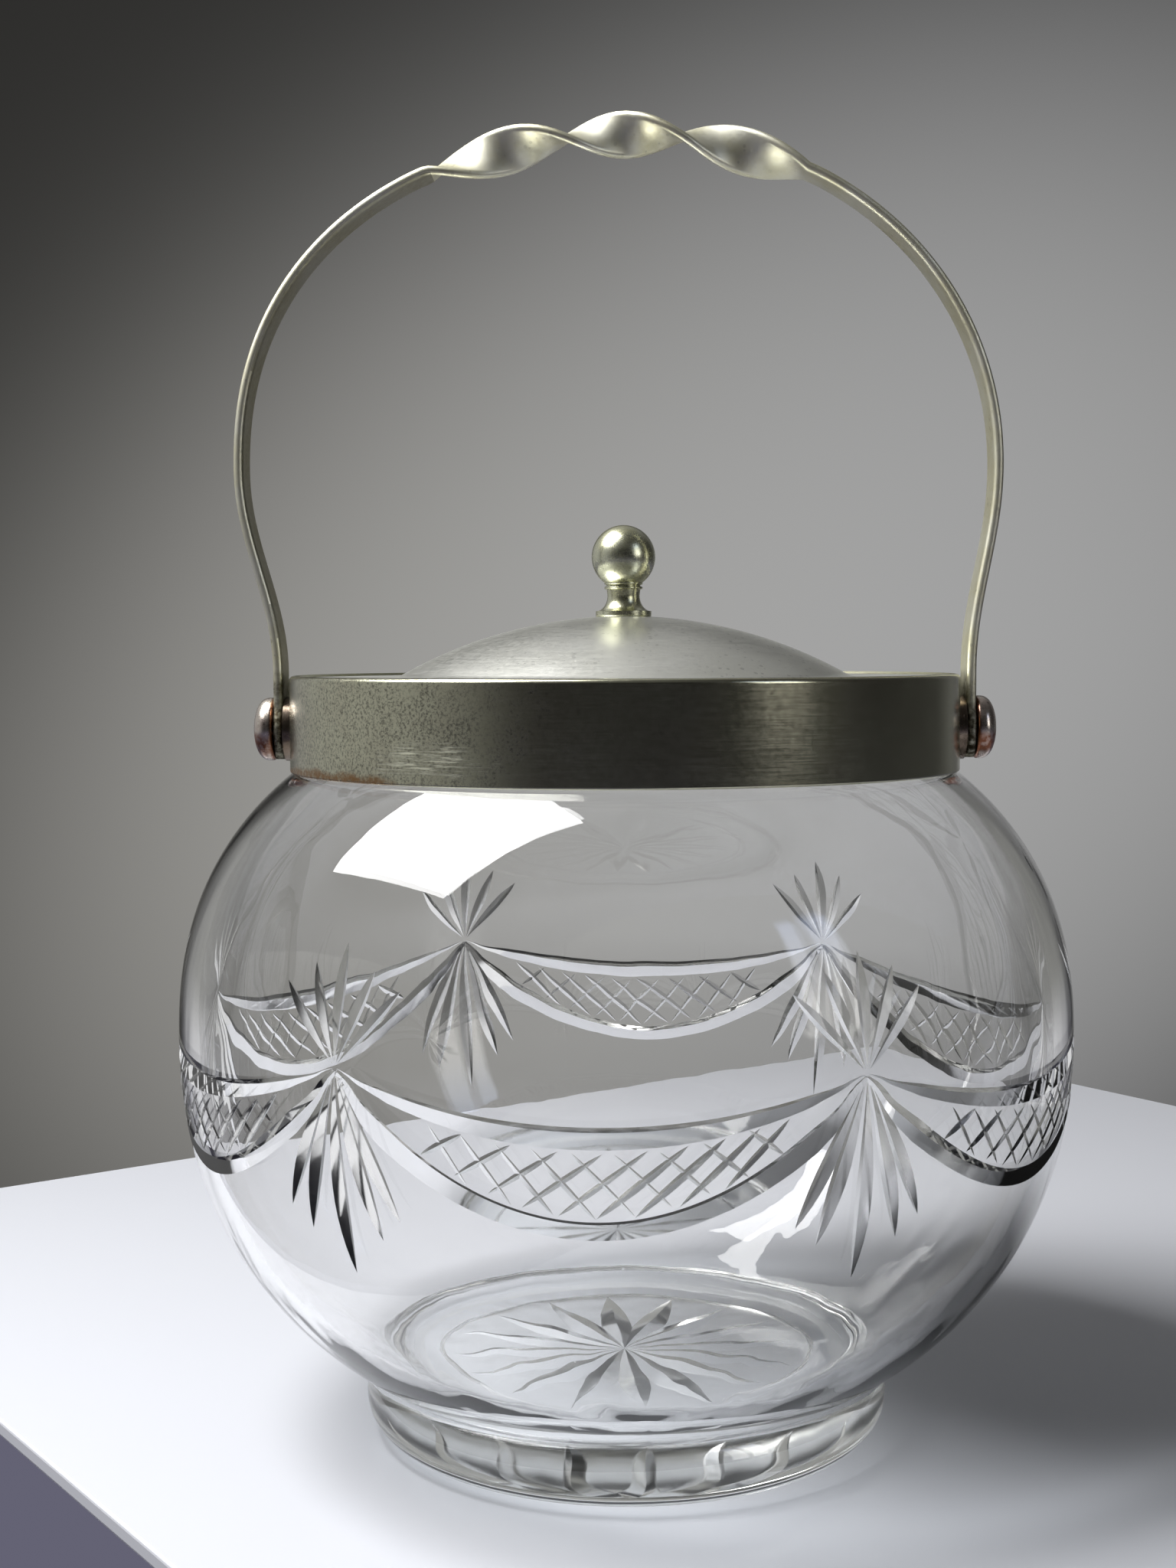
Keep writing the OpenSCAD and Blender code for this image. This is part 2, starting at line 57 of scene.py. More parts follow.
PIT_SHADE = 0.2  # how much of its tone the plate keeps in a pit
PATCH_ROUGH = 0.15  # the roughness that a brown patch adds, over tarnish and painted shade alike
RUB_ROUGH, RUB_DEPTH = 0.3, 1.5  # the roughness that rubbing adds, and the height that it takes off
GROUND, SHADED_FACES = "ground", "darker"  # the names of the pieces' own attributes
Pair = tuple[float, float]
Triple = tuple[float, float, float]
Colour = Triple
Socket = bpy.types.NodeSocket
Feed = Socket | float | tuple[float, ...]
Material = bpy.types.Material
Item = bpy.types.Object
Shell = bmesh.types.BMesh
log = logging.getLogger("biscuit jar")


class Body(Enum):
    """The moving bodies that pieces ride on."""

    JAR = "jar"
    HANDLE = "handle"
    LID = "lid"


class Slot(Enum):
    """The record's material slots of the pieces made here."""

    GLASS = "clear_glass"
    COLLAR = "collar_plate"
    HANDLE = "handle_plate"
    RIVET = "rivet_plate"
    LID = "lid_plate"
    KNOB = "knob_plate"


class Side(Enum):
    """The two ends of the handle."""

    LEFT = -1
    RIGHT = 1


class Cut(Enum):
    """The kinds of glass surface, each with how rough the wheel left it."""

    NONE = 0.0
    LEAF = 0.9
    BAND = 0.3
    HATCH = 1.0
    STAR = 0.5


class Grain(Enum):
    """The way the polishing lines of a metal run: millimetres to pattern units along X, Y, Z and radius."""

    ROUND_A_BAND = (0.12, 0.12, 5.0, 0.0)
    ROUND_A_DOME = (0.12, 0.12, 0.0, 4.0)
    ALL_WAYS = (1.6, 1.6, 1.6, 0.0)


# ---------------------------------------------------------------- outlines and the bench


def quarter(centre: Pair, rx: float, rz: float, start: float, end: float, steps: int) -> list[Pair]:
    """Points of an elliptical curve in an outline.

    Args:
        centre: The ellipse's centre, as radius and height.
        rx: Its half width.
        rz: Its half height.
        start: The first angle in degrees.
        end: The last angle in degrees.
        steps: How many steps lie between them.

    Returns:
        The points, both ends included.
    """
    turns = [math.radians(start + (end - start) * i / steps) for i in range(steps + 1)]
    return [(centre[0] + rx * math.cos(a), centre[1] + rz * math.sin(a)) for a in turns]


def full_height(widest: Pair, end: Pair, roundness: Pair) -> float:
    """The height that a rounded run would have if it went on to the axis."""
    return abs(end[1] - widest[1]) / (1 - (end[0] / widest[0]) ** roundness[0]) ** (1 / roundness[1])


def rounded_run(widest: Pair, end: Pair, roundness: Pair, steps: int) -> list[Pair]:
    """Points of a full, squarish curve from its widest ring to its end.

    Args:
        widest: Radius and height of the widest ring.
        end: Radius and height where the curve stops.
        roundness: The powers of radius and height: 2 and 2 would be an ellipse.
        steps: How many steps lie between them.

    Returns:
        The points, both ends included.
    """
    last = math.acos((end[0] / widest[0]) ** (roundness[0] / 2))
    way = math.copysign(full_height(widest, end, roundness), end[1] - widest[1])
    turns = [last * i / steps for i in range(steps + 1)]
    return [
        (widest[0] * max(math.cos(a), 0.0) ** (2 / roundness[0]), widest[1] + way * math.sin(a) ** (2 / roundness[1]))
        for a in turns
    ]


@dataclass
class Outline:
    """The outline of a turned piece, as radius and height pairs.

    It runs from the axis back to the axis, or round a ring where ring is set.
    """

    points: list[Pair]
    ring: bool = False
    crisp: float = 30.0

    def __post_init__(self) -> None:
        """Puts the points in the order that keeps the outside on the right."""
        p = np.array(self.points)
        q = np.roll(p, -1, axis=0)
        if float((p[:, 0] * q[:, 1] - q[:, 0] * p[:, 1]).sum()) < 0:
            self.points = self.points[::-1]

    def turn(self, steps: int) -> Shell:
        """Spins the outline about the Z axis into a closed shell of that many steps.

        Args:
            steps: How many steps the full turn has.

        Returns:
            The shell.
        """
        shell = bmesh.new()
        verts = [shell.verts.new((r, 0.0, z)) for r, z in self.points]
        pairs = list(zip(verts, verts[1:])) + ([(verts[-1], verts[0])] if self.ring else [])
        edges = [shell.edges.new(pair) for pair in pairs]
        bmesh.ops.spin(
            shell, geom=verts + edges, cent=(0, 0, 0), axis=(0, 0, 1), angle=math.tau, steps=steps, use_merge=True
        )
        bmesh.ops.remove_doubles(shell, verts=shell.verts, dist=TOUCHING)
        bmesh.ops.recalc_face_normals(shell, faces=shell.faces)
        return shell

    def legs(self) -> tuple[np.ndarray, np.ndarray, np.ndarray, np.ndarray]:
        """The straight legs of the outline.

        Returns:
            The start and the end of each leg, and the outward normals at its start and its end.
        """
        p = np.array(self.points + (self.points[:1] if self.ring else []))
        start, end = p[:-1], p[1:]
        run = end - start
        length = np.linalg.norm(run, axis=1)[:, None]
        flat = np.column_stack([run[:, 1], -run[:, 0]]) / length
        before, after = np.roll(flat, 1, axis=0), np.roll(flat, -1, axis=0)
        long_before, long_after = np.roll(length, 1, axis=0), np.roll(length, -1, axis=0)
        if not self.ring:
            before[0], after[-1] = flat[0] * (-1, 1), flat[-1] * (-1, 1)
            long_before[0], long_after[-1] = length[0], length[-1]
        ends = []
        for other, weight in ((before, long_before), (after, long_after)):
            soft = (flat * other).sum(axis=1)[:, None] > math.cos(math.radians(self.crisp))
            both = flat * length + other * weight
            ends.append(np.where(soft, both / np.maximum(np.linalg.norm(both, axis=1)[:, None], 1e-9), flat))
        return start, end, ends[0], ends[1]


def column(items: bpy.types.bpy_prop_collection, key: str, wide: int = 1, kind: type = np.float32) -> np.ndarray:
    """Reads one property of every vertex, corner or face of a mesh.

    Args:
        items: The mesh's vertices, corners or faces.
        key: The property's name.
        wide: How many numbers it holds.
        kind: The kind of number.

    Returns:
        One row to each item.
    """
    row = np.empty(len(items) * wide, kind)
    items.foreach_get(key, row)
    return row.reshape(-1, wide) if wide > 1 else row


def placed(name: str, data: bpy.types.ID) -> Item:
    """A new object in the scene that shows that data.

    Args:
        name: The object's name.
        data: The mesh, lamp or camera that it shows.

    Returns:
        The object.
    """
    item = bpy.data.objects.new(name, data)
    bpy.context.scene.collection.objects.link(item)
    return item


class Workpiece:
    """A piece on the bench, in millimetres, until it is mounted on its body in metres."""

    def __init__(self, name: str, shell: Shell, finishes: Sequence[Material] = ()) -> None:
        """Lays a shell on the bench.

        Args:
            name: The piece's name.
            shell: Its faces, which are freed once they are copied.
            finishes: The materials for its slots.
        """
        mesh = bpy.data.meshes.new(name)
        for finish in finishes:
            mesh.materials.append(finish)
        shell.to_mesh(mesh)
        shell.free()
        self.item = placed(name, mesh)

    def carve(self, tools: Sequence["Workpiece"]) -> "Workpiece":
        """Cuts each tool out of the piece, then throws the tools away.

        Args:
            tools: The pieces to cut out.

        Returns:
            The workpiece.
        """
        for tool in tools:
            cut = self.item.modifiers.new(tool.item.name, "BOOLEAN")
            cut.operation, cut.solver, cut.object = "DIFFERENCE", "MANIFOLD", tool.item
        view = bpy.context.evaluated_depsgraph_get()
        carved = bpy.data.meshes.new_from_object(self.item.evaluated_get(view), depsgraph=view)
        self.item.modifiers.clear()
        blank, self.item.data = self.item.data, carved
        bpy.data.meshes.remove(blank)
        for tool in tools:
            scrap = tool.item.data
            bpy.data.objects.remove(tool.item)
            bpy.data.meshes.remove(scrap)
        return self

    def turn_to(self, way: Matrix) -> "Workpiece":
        """Turns and moves the piece's mesh on the bench."""
        self.item.data.transform(way)
        return self

    def polish(self, degrees: float = 30.0, outline: Outline | None = None) -> "Workpiece":
        """Smooths the shading, with crisp edges past an angle.

        Args:
            degrees: The angle from which an edge stays crisp.
            outline: The turned outline whose own normals the uncut faces take.

        Returns:
            The workpiece.
        """
        mesh = self.item.data
        mesh.shade_smooth()
        mesh.set_sharp_from_angle(angle=math.radians(degrees))
        if outline is not None:
            mesh.normals_split_custom_set(self.turned_normals(outline).tolist())
        return self

    def turned_normals(self, outline: Outline) -> np.ndarray:
        """The normals of an outline for the corners of its faces, with zeros for cut faces.

        Args:
            outline: The outline that the piece was turned from.

        Returns:
            One normal for each corner of each face.
        """
        mesh = self.item.data
        total = column(mesh.polygons, "loop_total", kind=np.int32)
        slot = column(mesh.polygons, "material_index", kind=np.int32)
        at = column(mesh.vertices, "co", 3)[column(mesh.loops, "vertex_index", kind=np.int32)].astype(float)
        radius = np.hypot(at[:, 0], at[:, 1])
        flat = np.column_stack([radius, at[:, 2]])
        first = np.concatenate([[0], np.cumsum(total)[:-1]])
        middle = np.add.reduceat(flat, first, axis=0) / total[:, None]
        start, end, n_start, n_end = outline.legs()
        run = end - start
        square = (run**2).sum(axis=1)
        best, nearest = np.full(len(total), np.inf), np.zeros(len(total), np.int64)
        for leg in range(len(start)):
            part = np.clip(((middle - start[leg]) @ run[leg]) / square[leg], 0, 1)[:, None]
            gap = np.linalg.norm(middle - start[leg] - part * run[leg], axis=1)
            nearest[gap < best] = leg
            best = np.minimum(best, gap)
        face = np.repeat(np.arange(len(total)), total)
        leg = nearest[face]
        part = np.clip(((flat - start[leg]) * run[leg]).sum(axis=1) / square[leg], 0, 1)[:, None]
        lean = n_start[leg] * (1 - part) + n_end[leg] * part
        lean /= np.linalg.norm(lean, axis=1)[:, None]
        out = at[:, :2] / np.maximum(radius, 1e-6)[:, None]
        normals = np.column_stack([out * lean[:, :1], lean[:, 1]])
        normals /= np.linalg.norm(normals, axis=1)[:, None]
        off = (normals * column(mesh.polygons, "normal", 3)[face]).sum(axis=1) < LYING_ALONG
        normals[off | (slot[face] > 0)] = 0.0
        return normals

    def tell(self, name: str, levels: Sequence[float]) -> "Workpiece":
        """Turns the material slots of the faces into an attribute, and leaves one slot.

        Args:
            name: The attribute's name.
            levels: Its value for the faces of each slot.

        Returns:
            The workpiece.
        """
        mesh = self.item.data
        slots = column(mesh.polygons, "material_index", kind=np.int32)
        mesh.attributes.new(name, "FLOAT", "FACE").data.foreach_set("value", np.array(levels, np.float32)[slots])
        mesh.polygons.foreach_set("material_index", np.zeros_like(slots))
        while len(mesh.materials) > 1:
            mesh.materials.pop()
        return self

    def mount(self, body: Body, slot: Slot, nodes: Sequence[str] = ()) -> Item:
        """Scales the piece to metres and fixes it to its body.

        Args:
            body: The body that it moves with.
            slot: The record's material slot for the piece. Not used.
            nodes: The CAD nodes that it stands for.

        Returns:
            The finished object.
        """
        self.item.data.transform(Matrix.Scale(MM, 4))
        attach(self.item, body.value)
        if nodes:
            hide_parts(*nodes)
        log.info("%s: %d faces on %s", self.item.name, len(self.item.data.polygons), body.value)
        return self.item


def turned(name: str, outline: Outline, steps: int, finish: Material) -> Workpiece:
    """A piece turned from its outline in that many steps, and polished."""
    return Workpiece(name, outline.turn(steps), (finish,)).polish(outline.crisp, outline)


def sweep(stations: Sequence[Sequence[Vector]]) -> Shell:
    """Draws a section along a row of stations into a closed bar.

    Args:
        stations: The corners of the section at each station, as many in each.

    Returns:
        The bar, closed at both ends.
    """
    bar = bmesh.new()
    bmesh.ops.create_circle(bar, cap_ends=True, radius=1.0, segments=len(stations[0]))
    bar.faces.ensure_lookup_table()
    end = bar.faces[0]
    for corner, at in zip(end.verts, stations[0]):
        corner.co = at
    for station in stations[1:]:
        moved = bmesh.ops.extrude_face_region(bar, geom=[end, *end.edges, *end.verts])["geom"]
        end = next(item for item in moved if isinstance(item, bmesh.types.BMFace))
        for corner, at in zip(end.verts, station):
            corner.co = at
    bmesh.ops.recalc_face_normals(bar, faces=bar.faces)
    return bar


def gather(parts: Iterable[Shell], slot: int = 0) -> Shell:
    """Puts several separate shells into one, with all their faces in one material slot.

    Args:
        parts: The shells, which are freed once they are copied.
        slot: The slot's number.

    Returns:
        The one shell.
    """
    whole = bmesh.new()
    scrap = bpy.data.meshes.new("scrap")
    for part in parts:
        part.to_mesh(scrap)
        part.free()
        whole.from_mesh(scrap)
    bpy.data.meshes.remove(scrap)
    for face in whole.faces:
        face.material_index = slot
    return whole


# ---------------------------------------------------------------- finishes


class Recipe:
    """A node tree being mixed, and the few steps that the finishes share."""

    def __init__(self, holder: Material | bpy.types.World) -> None:
        """Empties the tree of a new material or of the world.

        Args:
            holder: The material or the world.
        """
        self.holder = holder
        holder.use_nodes = True
        self.tree = holder.node_tree
        self.tree.nodes.clear()

    def add(self, kind: str, feeds: dict[str | int, Feed] | None = None, **settings: object) -> bpy.types.Node:
        """Adds a node.

        Args:
            kind: Blender's name for the node.
            feeds: What goes into its inputs, by name or number.
            settings: Its other properties.

        Returns:
            The node.
        """
        node = self.tree.nodes.new(kind)
        for key, value in settings.items():
            setattr(node, key, value)
        for key, value in (feeds or {}).items():
            if isinstance(value, Socket):
                self.tree.links.new(value, node.inputs[key])
            else:
                node.inputs[key].default_value = value
        return node

    def place(self) -> Socket:
        """The place on the piece, in millimetres."""
        spot = self.add("ShaderNodeTexCoord").outputs["Object"]
        return self.add("ShaderNodeVectorMath", {0: spot, "Scale": 1 / MM}, operation="SCALE").outputs[0]

    def calc(self, operation: str, *feeds: Feed) -> Socket:
        """The result of one sum."""
        return self.add("ShaderNodeMath", dict(enumerate(feeds)), operation=operation).outputs[0]

    def times(self, one: Feed, other: Feed) -> Socket:
        """The product of two values."""
        return self.calc("MULTIPLY", one, other)

    def stretch(self, place: Feed, by: Sequence[float]) -> Socket:
        """A place with each of its axes stretched."""
        return self.add("ShaderNodeVectorMath", {0: place, 1: tuple(by)}, operation="MULTIPLY").outputs[0]

    def axes(self, place: Feed) -> Sequence[Socket]:
        """The three parts of a place or a direction."""
        return self.add("ShaderNodeSeparateXYZ", {0: place}).outputs

    def azimuth(self, axes: Sequence[Socket]) -> Socket:
        """Degrees round the jar's axis."""
        return self.calc("DEGREES", self.calc("ARCTAN2", axes[0], self.times(axes[1], -1.0)))

    def radius(self, place: Feed) -> Socket:
        """The distance of a place from the jar's axis."""
        flat = self.stretch(place, (1.0, 1.0, 0.0))
        return self.add("ShaderNodeVectorMath", {0: flat}, operation="LENGTH").outputs["Value"]

    def told(self, name: str) -> Socket:
        """The piece's own attribute of that name."""
        return self.add("ShaderNodeAttribute", attribute_name=name).outputs["Fac"]

    def noise(self, place: Feed, scale: float, detail: float = 3.0, rough: float = 0.55) -> Socket:
        """Soft noise from 0 to 1 with that many lumps to a millimetre."""
        feeds = {"Vector": place, "Scale": scale, "Detail": detail, "Roughness": rough}
        return self.add("ShaderNodeTexNoise", feeds).outputs["Fac"]

    def dots(self, place: Feed, scale: float, size: float) -> Socket:
        """Scattered dots: 1 inside a dot of that radius and 0 outside, in cells of one over scale.

        Args:
            place: The place on the piece.
            scale: How many cells there are to a millimetre.
            size: The radius of the largest dots, as a share of a cell.

        Returns:
            The level.
        """
        cell = self.add("ShaderNodeTexVoronoi", {"Vector": place, "Scale": scale, "Randomness": 1.0})
        pick = self.add("ShaderNodeSeparateColor", {0: cell.outputs["Color"]}).outputs[0]
        reach = self.times(pick, size)
        return self.grade(self.calc("SUBTRACT", cell.outputs["Distance"], reach), -0.06, 0.0, 1.0, 0.0)

    def grade(self, value: Feed, low: float, high: float, to_low: float = 0.0, to_high: float = 1.0) -> Socket:
        """A value moved smoothly from one range to another and held inside it."""
        feeds = {0: value, 1: low, 2: high, 3: to_low, 4: to_high}
        return self.add("ShaderNodeMapRange", feeds, interpolation_type="SMOOTHSTEP").outputs[0]

    def inside(self, value: Feed, low: float, high: float, soft: float) -> Socket:
        """1 while a value lies between two limits, with soft ends of that width, and 0 elsewhere."""
        up = self.grade(value, low - soft, low + soft)
        return self.times(up, self.grade(value, high - soft, high + soft, 1.0, 0.0))

    def ramp(self, value: Feed, low: float, high: float, stops: Sequence[Pair]) -> Socket:
        """A level that follows a list of stops.

        Args:
            value: What the level depends on.
            low: The value at the ramp's start.
            high: The value at its end.
            stops: The values, in rising order, each with its level.

        Returns:
            The level, between 0 and 1.
        """
        part = self.add("ShaderNodeMapRange", {0: value, 1: low, 2: high}).outputs[0]
        node = self.add("ShaderNodeValToRGB", {0: part})
        elements = node.color_ramp.elements
        elements[0].position, elements[1].position = 0.0, 1.0
        for _ in stops[2:]:
            elements.new(0.5)
        for element, (at, level) in zip(elements, stops):
            element.position = (at - low) / (high - low)
            element.color = (level, level, level, 1.0)
        return node.outputs[0]

    def mix(self, share: Feed, low: Feed, high: Feed) -> Socket:
        """Two colours mixed.

        Args:
            share: How much of the second colour there is, from 0 to 1.
            low: The first colour.
            high: The second colour.

        Returns:
            The mixed colour.
        """
        node = self.add("ShaderNodeMix", data_type="RGBA")
        for index, feed in ((0, share), (6, low), (7, high)):
            if isinstance(feed, Socket):
                self.tree.links.new(feed, node.inputs[index])
            elif isinstance(feed, tuple):
                node.inputs[index].default_value = (*feed, 1.0)
            else:
                node.inputs[index].default_value = feed
        return node.outputs[2]

    def bump(self, height: Feed, depth: float, under: Feed | None = None) -> Socket:
        """A normal raised by a height from 0 to 1 that stands for that many millimetres.

        Args:
            height: The height at each place.
            depth: How many millimetres a height of 1 stands for.
            under: The normal that it is laid on, where that isn't the piece's own.

        Returns:
            The normal.
        """
        feeds: dict[str | int, Feed] = {"Height": height, "Distance": depth * MM, "Strength": 1.0}
        if under is not None:
            feeds["Normal"] = under
        return self.add("ShaderNodeBump", feeds).outputs[0]

    def done(self, shader: Socket, volume: Socket | None = None) -> Material:
        """Ends the recipe with its surface, and with what fills it.

        Args:
            shader: The surface.
            volume: What fills the piece.

        Returns:
            The material.
        """
        feeds = {"Surface": shader} | ({"Volume": volume} if volume is not None else {})
        self.add("ShaderNodeOutputMaterial", feeds)
        return self.holder

    def surface(self, feeds: dict[str | int, Feed]) -> Material:
        """Ends the recipe with one plain surface."""
        return self.done(self.add("ShaderNodeBsdfPrincipled", feeds).outputs[0])


@dataclass(frozen=True)
class ClearGlass:
    """Old clear glass, polished by the fire and ground by the wheel where the piece's "ground" attribute says so."""

    name: str = "clear glass"
    through: Colour = (0.965, 0.97, 0.975)  # what shadows let through where the glass is seen square on
    rim: Colour = (0.45, 0.45, 0.45)  # and where it is seen along its face
    haze: float = 0.05  # the roughness of dust
    speck: float = 0.4  # the roughness of specks
    base: Pair = (0.4, 0.14)  # the roughness of the worn ring under the foot, at its bottom and its top
    satin: float = 0.22  # the roughness of fully ground glass
    ripple: float = 0.2  # millimetres
    absorb: float = 6.0  # for each metre of glass
    ior: float = 1.52
    worn_up: Pair = (0.1, 1.2)  # the heights between which the worn ring gets smoother
    worn_end: Pair = (1.25, 1.35)  # and between which it ends
    wavy: tuple[float, float, float, float] = (20.0, 48.0, 1.0, 0.35)  # two heights, and how wavy the glass is at each
    rim_from: Pair = (0.42, 0.85)  # how far from square on the tint turns from through to rim
    body: Colour = (0.88, 0.90, 0.84)  # the tint of thick glass

    def mixed(self) -> Material:
        """Mixes the glass, with a few specks and some dust on it.

        Returns:
            The glass.
        """
        r = Recipe(bpy.data.materials.new(self.name))
        mm = r.place()
        specks = r.times(r.dots(mm, scale=0.16, size=0.05), self.speck)
        dust = r.times(r.grade(r.noise(mm, scale=1.3, detail=5.0, rough=0.7), 0.66, 0.8), self.haze)
        height = r.axes(mm)[2]
        worn = r.times(r.grade(height, *self.worn_up, *self.base), r.grade(height, *self.worn_end, 1.0, 0.0))
        other = r.calc("MAXIMUM", worn, r.calc("MAXIMUM", specks, dust))
        rough = r.calc("MULTIPLY_ADD", r.told(GROUND), self.satin, other)
        feeds = {"Base Color": (1.0, 1.0, 1.0, 1.0), "Roughness": rough, "IOR": self.ior, "Transmission Weight": 1.0}
        wave = r.noise(r.stretch(mm, (1.0, 1.0, 0.4)), scale=0.085, detail=1.5)
        wave = r.times(wave, r.grade(height, *self.wavy))
        feeds["Normal"] = r.bump(wave, self.ripple)
        glass = r.add("ShaderNodeBsdfPrincipled", feeds)
        facing = r.add("ShaderNodeLayerWeight", {"Blend": 0.5}).outputs["Facing"]
        shade = r.mix(r.grade(facing, *self.rim_from), self.through, self.rim)
        clear = r.add("ShaderNodeBsdfTransparent", {"Color": shade})
        path = r.add("ShaderNodeLightPath")
        past = r.calc("MAXIMUM", path.outputs["Is Shadow Ray"], path.outputs["Is Diffuse Ray"])
        both = r.add("ShaderNodeMixShader", {0: past, 1: glass.outputs[0], 2: clear.outputs[0]})
        inside = r.add("ShaderNodeVolumeAbsorption", {"Color": (*self.body, 1.0), "Density": self.absorb})
        return r.done(both.outputs[0], inside.outputs[0])


@dataclass(frozen=True)
class Marks:
    """Wear, tarnish or painted shade at one place of a turned piece: where it is, as azimuths and heights."""

    azimuth: float
    spread: float
    height: float
    reach: float
    both: bool = False


@dataclass(frozen=True)
class Plate:
    """Worn silver plate over nickel: polishing lines, pits, dull clouds, brown tarnish and, on the handle, dark brown
    painted shade.
    """

    name: str
    bright: Colour
    dull: Colour
    brown: Colour = (0.30, 0.17, 0.07)
    rough: Pair = (0.22, 0.36)  # where the lines are low, and where they are high
    grain: Grain = Grain.ALL_WAYS
    line_depth: float = 0.004  # millimetres
    pits: float = 0.5  # how dark the pits are
    pit_depth: float = 0.03  # millimetres
    cloud: float = 0.05  # lumps to a millimetre
    rubbed: Marks | None = None  # bright scores
    brown_patch: Marks | None = None  # a brown, rougher patch: tarnish on the collar, painted shade round the handle's eyes, and a brown band low on the rivet heads
    pocked: Marks | None = None  # close pits
    buffed: tuple[float, float, float] | None = None  # two radii, and the share of the roughness left at the second
    browned: Pair | None = None  # brown up to the first distance from the middle, and none past the second
    darker: float = 0.0  # how strong the painted shade, a dark brown tone, is on the faces marked as shaded
    glance: Colour = (1.0, 1.0, 1.0)  # the tint of what it mirrors along its face

    def near(self, r: Recipe, mm: Feed, marks: Marks) -> Socket:
        """How strongly a mark shows at each place, from 0 to 1.

        Args:
            r: The plate's recipe.
            mm: The place on the piece, in millimetres.
            marks: Where the mark is.

        Returns:
            The strength.
        """
        axes = r.axes(mm)
        degrees = r.azimuth(axes)
        off = r.calc("SUBTRACT", r.calc("ABSOLUTE", degrees) if marks.both else degrees, marks.azimuth)
        wander = r.times(r.calc("SUBTRACT", r.noise(mm, scale=0.22), 0.5), 1.4)
        side = r.calc("DIVIDE", off, marks.spread)
        rise = r.calc("DIVIDE", r.calc("SUBTRACT", axes[2], marks.height), marks.reach)
        far = r.calc("SQRT", r.calc("ADD", r.times(side, side), r.times(rise, rise)))
        return r.grade(r.calc("ADD", far, wander), 0.55, 1.15, 1.0, 0.0)

    def lines(self, r: Recipe, mm: Feed) -> Socket:
        """The polishing lines, from 0 to 1.

        Args:
            r: The plate's recipe.
            mm: The place on the piece, in millimetres.

        Returns:
            The level.
        """
        *along, out = self.grain.value
        lined = r.stretch(mm, along)
        if out:
            ring = r.add("ShaderNodeCombineXYZ", {2: r.times(r.radius(mm), out)}).outputs[0]
            lined = r.add("ShaderNodeVectorMath", {0: lined, 1: ring}, operation="ADD").outputs[0]
        return r.noise(lined, scale=1.0, detail=6.0, rough=0.65)

    def pitting(self, r: Recipe, mm: Feed, clouds: Feed) -> Socket:
        """The pits, which lie thickest in the clouds and where the plate is pocked, from 0 to 1.

        Args:
            r: The plate's recipe.
            mm: The place on the piece, in millimetres.
            clouds: How dull the plate is, from 0 to 1.

        Returns:
            The level.
        """
        pitted = r.times(r.dots(mm, scale=0.9, size=0.36), r.grade(clouds, 0.42, 0.62))
        if self.pocked is None:
            return pitted
        pocks = r.grade(r.noise(mm, scale=2.1, detail=5.0, rough=0.85), 0.48, 0.62)
        pocks = r.times(pocks, self.near(r, mm, self.pocked))
        return r.calc("MAXIMUM", r.times(pitted, 0.25), pocks)

    def mixed(self) -> Material:
        """Mixes the plate.

        Returns:
            The plate.
        """
        r = Recipe(bpy.data.materials.new(self.name))
        mm = r.place()
        lines = self.lines(r, mm)
        clouds = r.noise(mm, self.cloud, detail=4.0, rough=0.6)
        mottle = r.noise(mm, scale=1.1, detail=5.0, rough=0.7)
        pitted = self.pitting(r, mm, clouds)
        worn = r.times(r.grade(clouds, 0.35, 0.65), r.grade(mottle, 0.3, 0.75, 0.6, 1.0))
        tone = r.mix(worn, self.bright, self.dull)
        tone = r.mix(r.times(pitted, self.pits), tone, tuple(PIT_SHADE * c for c in self.dull))
        rough = r.calc("ADD", r.times(lines, 0.5), r.times(mottle, 0.5))
        rough = r.grade(rough, 0.3, 0.7, *self.rough)
        pits = r.times(pitted, self.pit_depth / self.line_depth)
        height = r.calc("SUBTRACT", lines, pits)
        if self.buffed is not None:
            rough = r.times(rough, r.grade(r.radius(mm), *self.buffed[:2], 1.0, self.buffed[2]))
        # painted shade: the faces marked as shaded take a dark brown tone
        if self.darker:
            painted_shade = r.grade(mottle, 0.2, 0.6, self.darker * 0.8, self.darker)
            tone = r.mix(r.times(r.told(SHADED_FACES), painted_shade), tone, self.brown)
        if self.browned is not None:
            spread = r.calc("ABSOLUTE", r.axes(mm)[0])
            edge = r.times(r.grade(spread, *self.browned, 1.0, 0.0), r.grade(mottle, 0.25, 0.5, 0.6, 1.0))
            tone = r.mix(edge, tone, self.brown)
        # a brown, rougher patch: tarnish on the collar, painted shade round the handle's eyes
        if self.brown_patch is not None:
            brown_level = r.times(self.near(r, mm, self.brown_patch), r.grade(mottle, 0.35, 0.6, 0.55, 1.0))
            tone = r.mix(brown_level, tone, self.brown)
            rough = r.calc("ADD", rough, r.times(brown_level, PATCH_ROUGH))
        if self.rubbed is not None:
            scores = r.noise(r.stretch(mm, (0.14, 0.14, 4.0)), scale=1.0, rough=0.7)
            rub = r.times(self.near(r, mm, self.rubbed), r.grade(scores, 0.5, 0.58))
            tone = r.mix(rub, tone, tuple(min(1.0, 1.35 * c + 0.12) for c in self.bright))
            rough = r.calc("ADD", rough, r.times(rub, RUB_ROUGH))
            height = r.calc("SUBTRACT", height, r.times(rub, RUB_DEPTH))
        feeds = {"Base Color": tone, "Metallic": 1.0, "Roughness": rough, "Normal": r.bump(height, self.line_depth)}
        return r.surface(feeds | {"Specular Tint": (*self.glance, 1.0)})


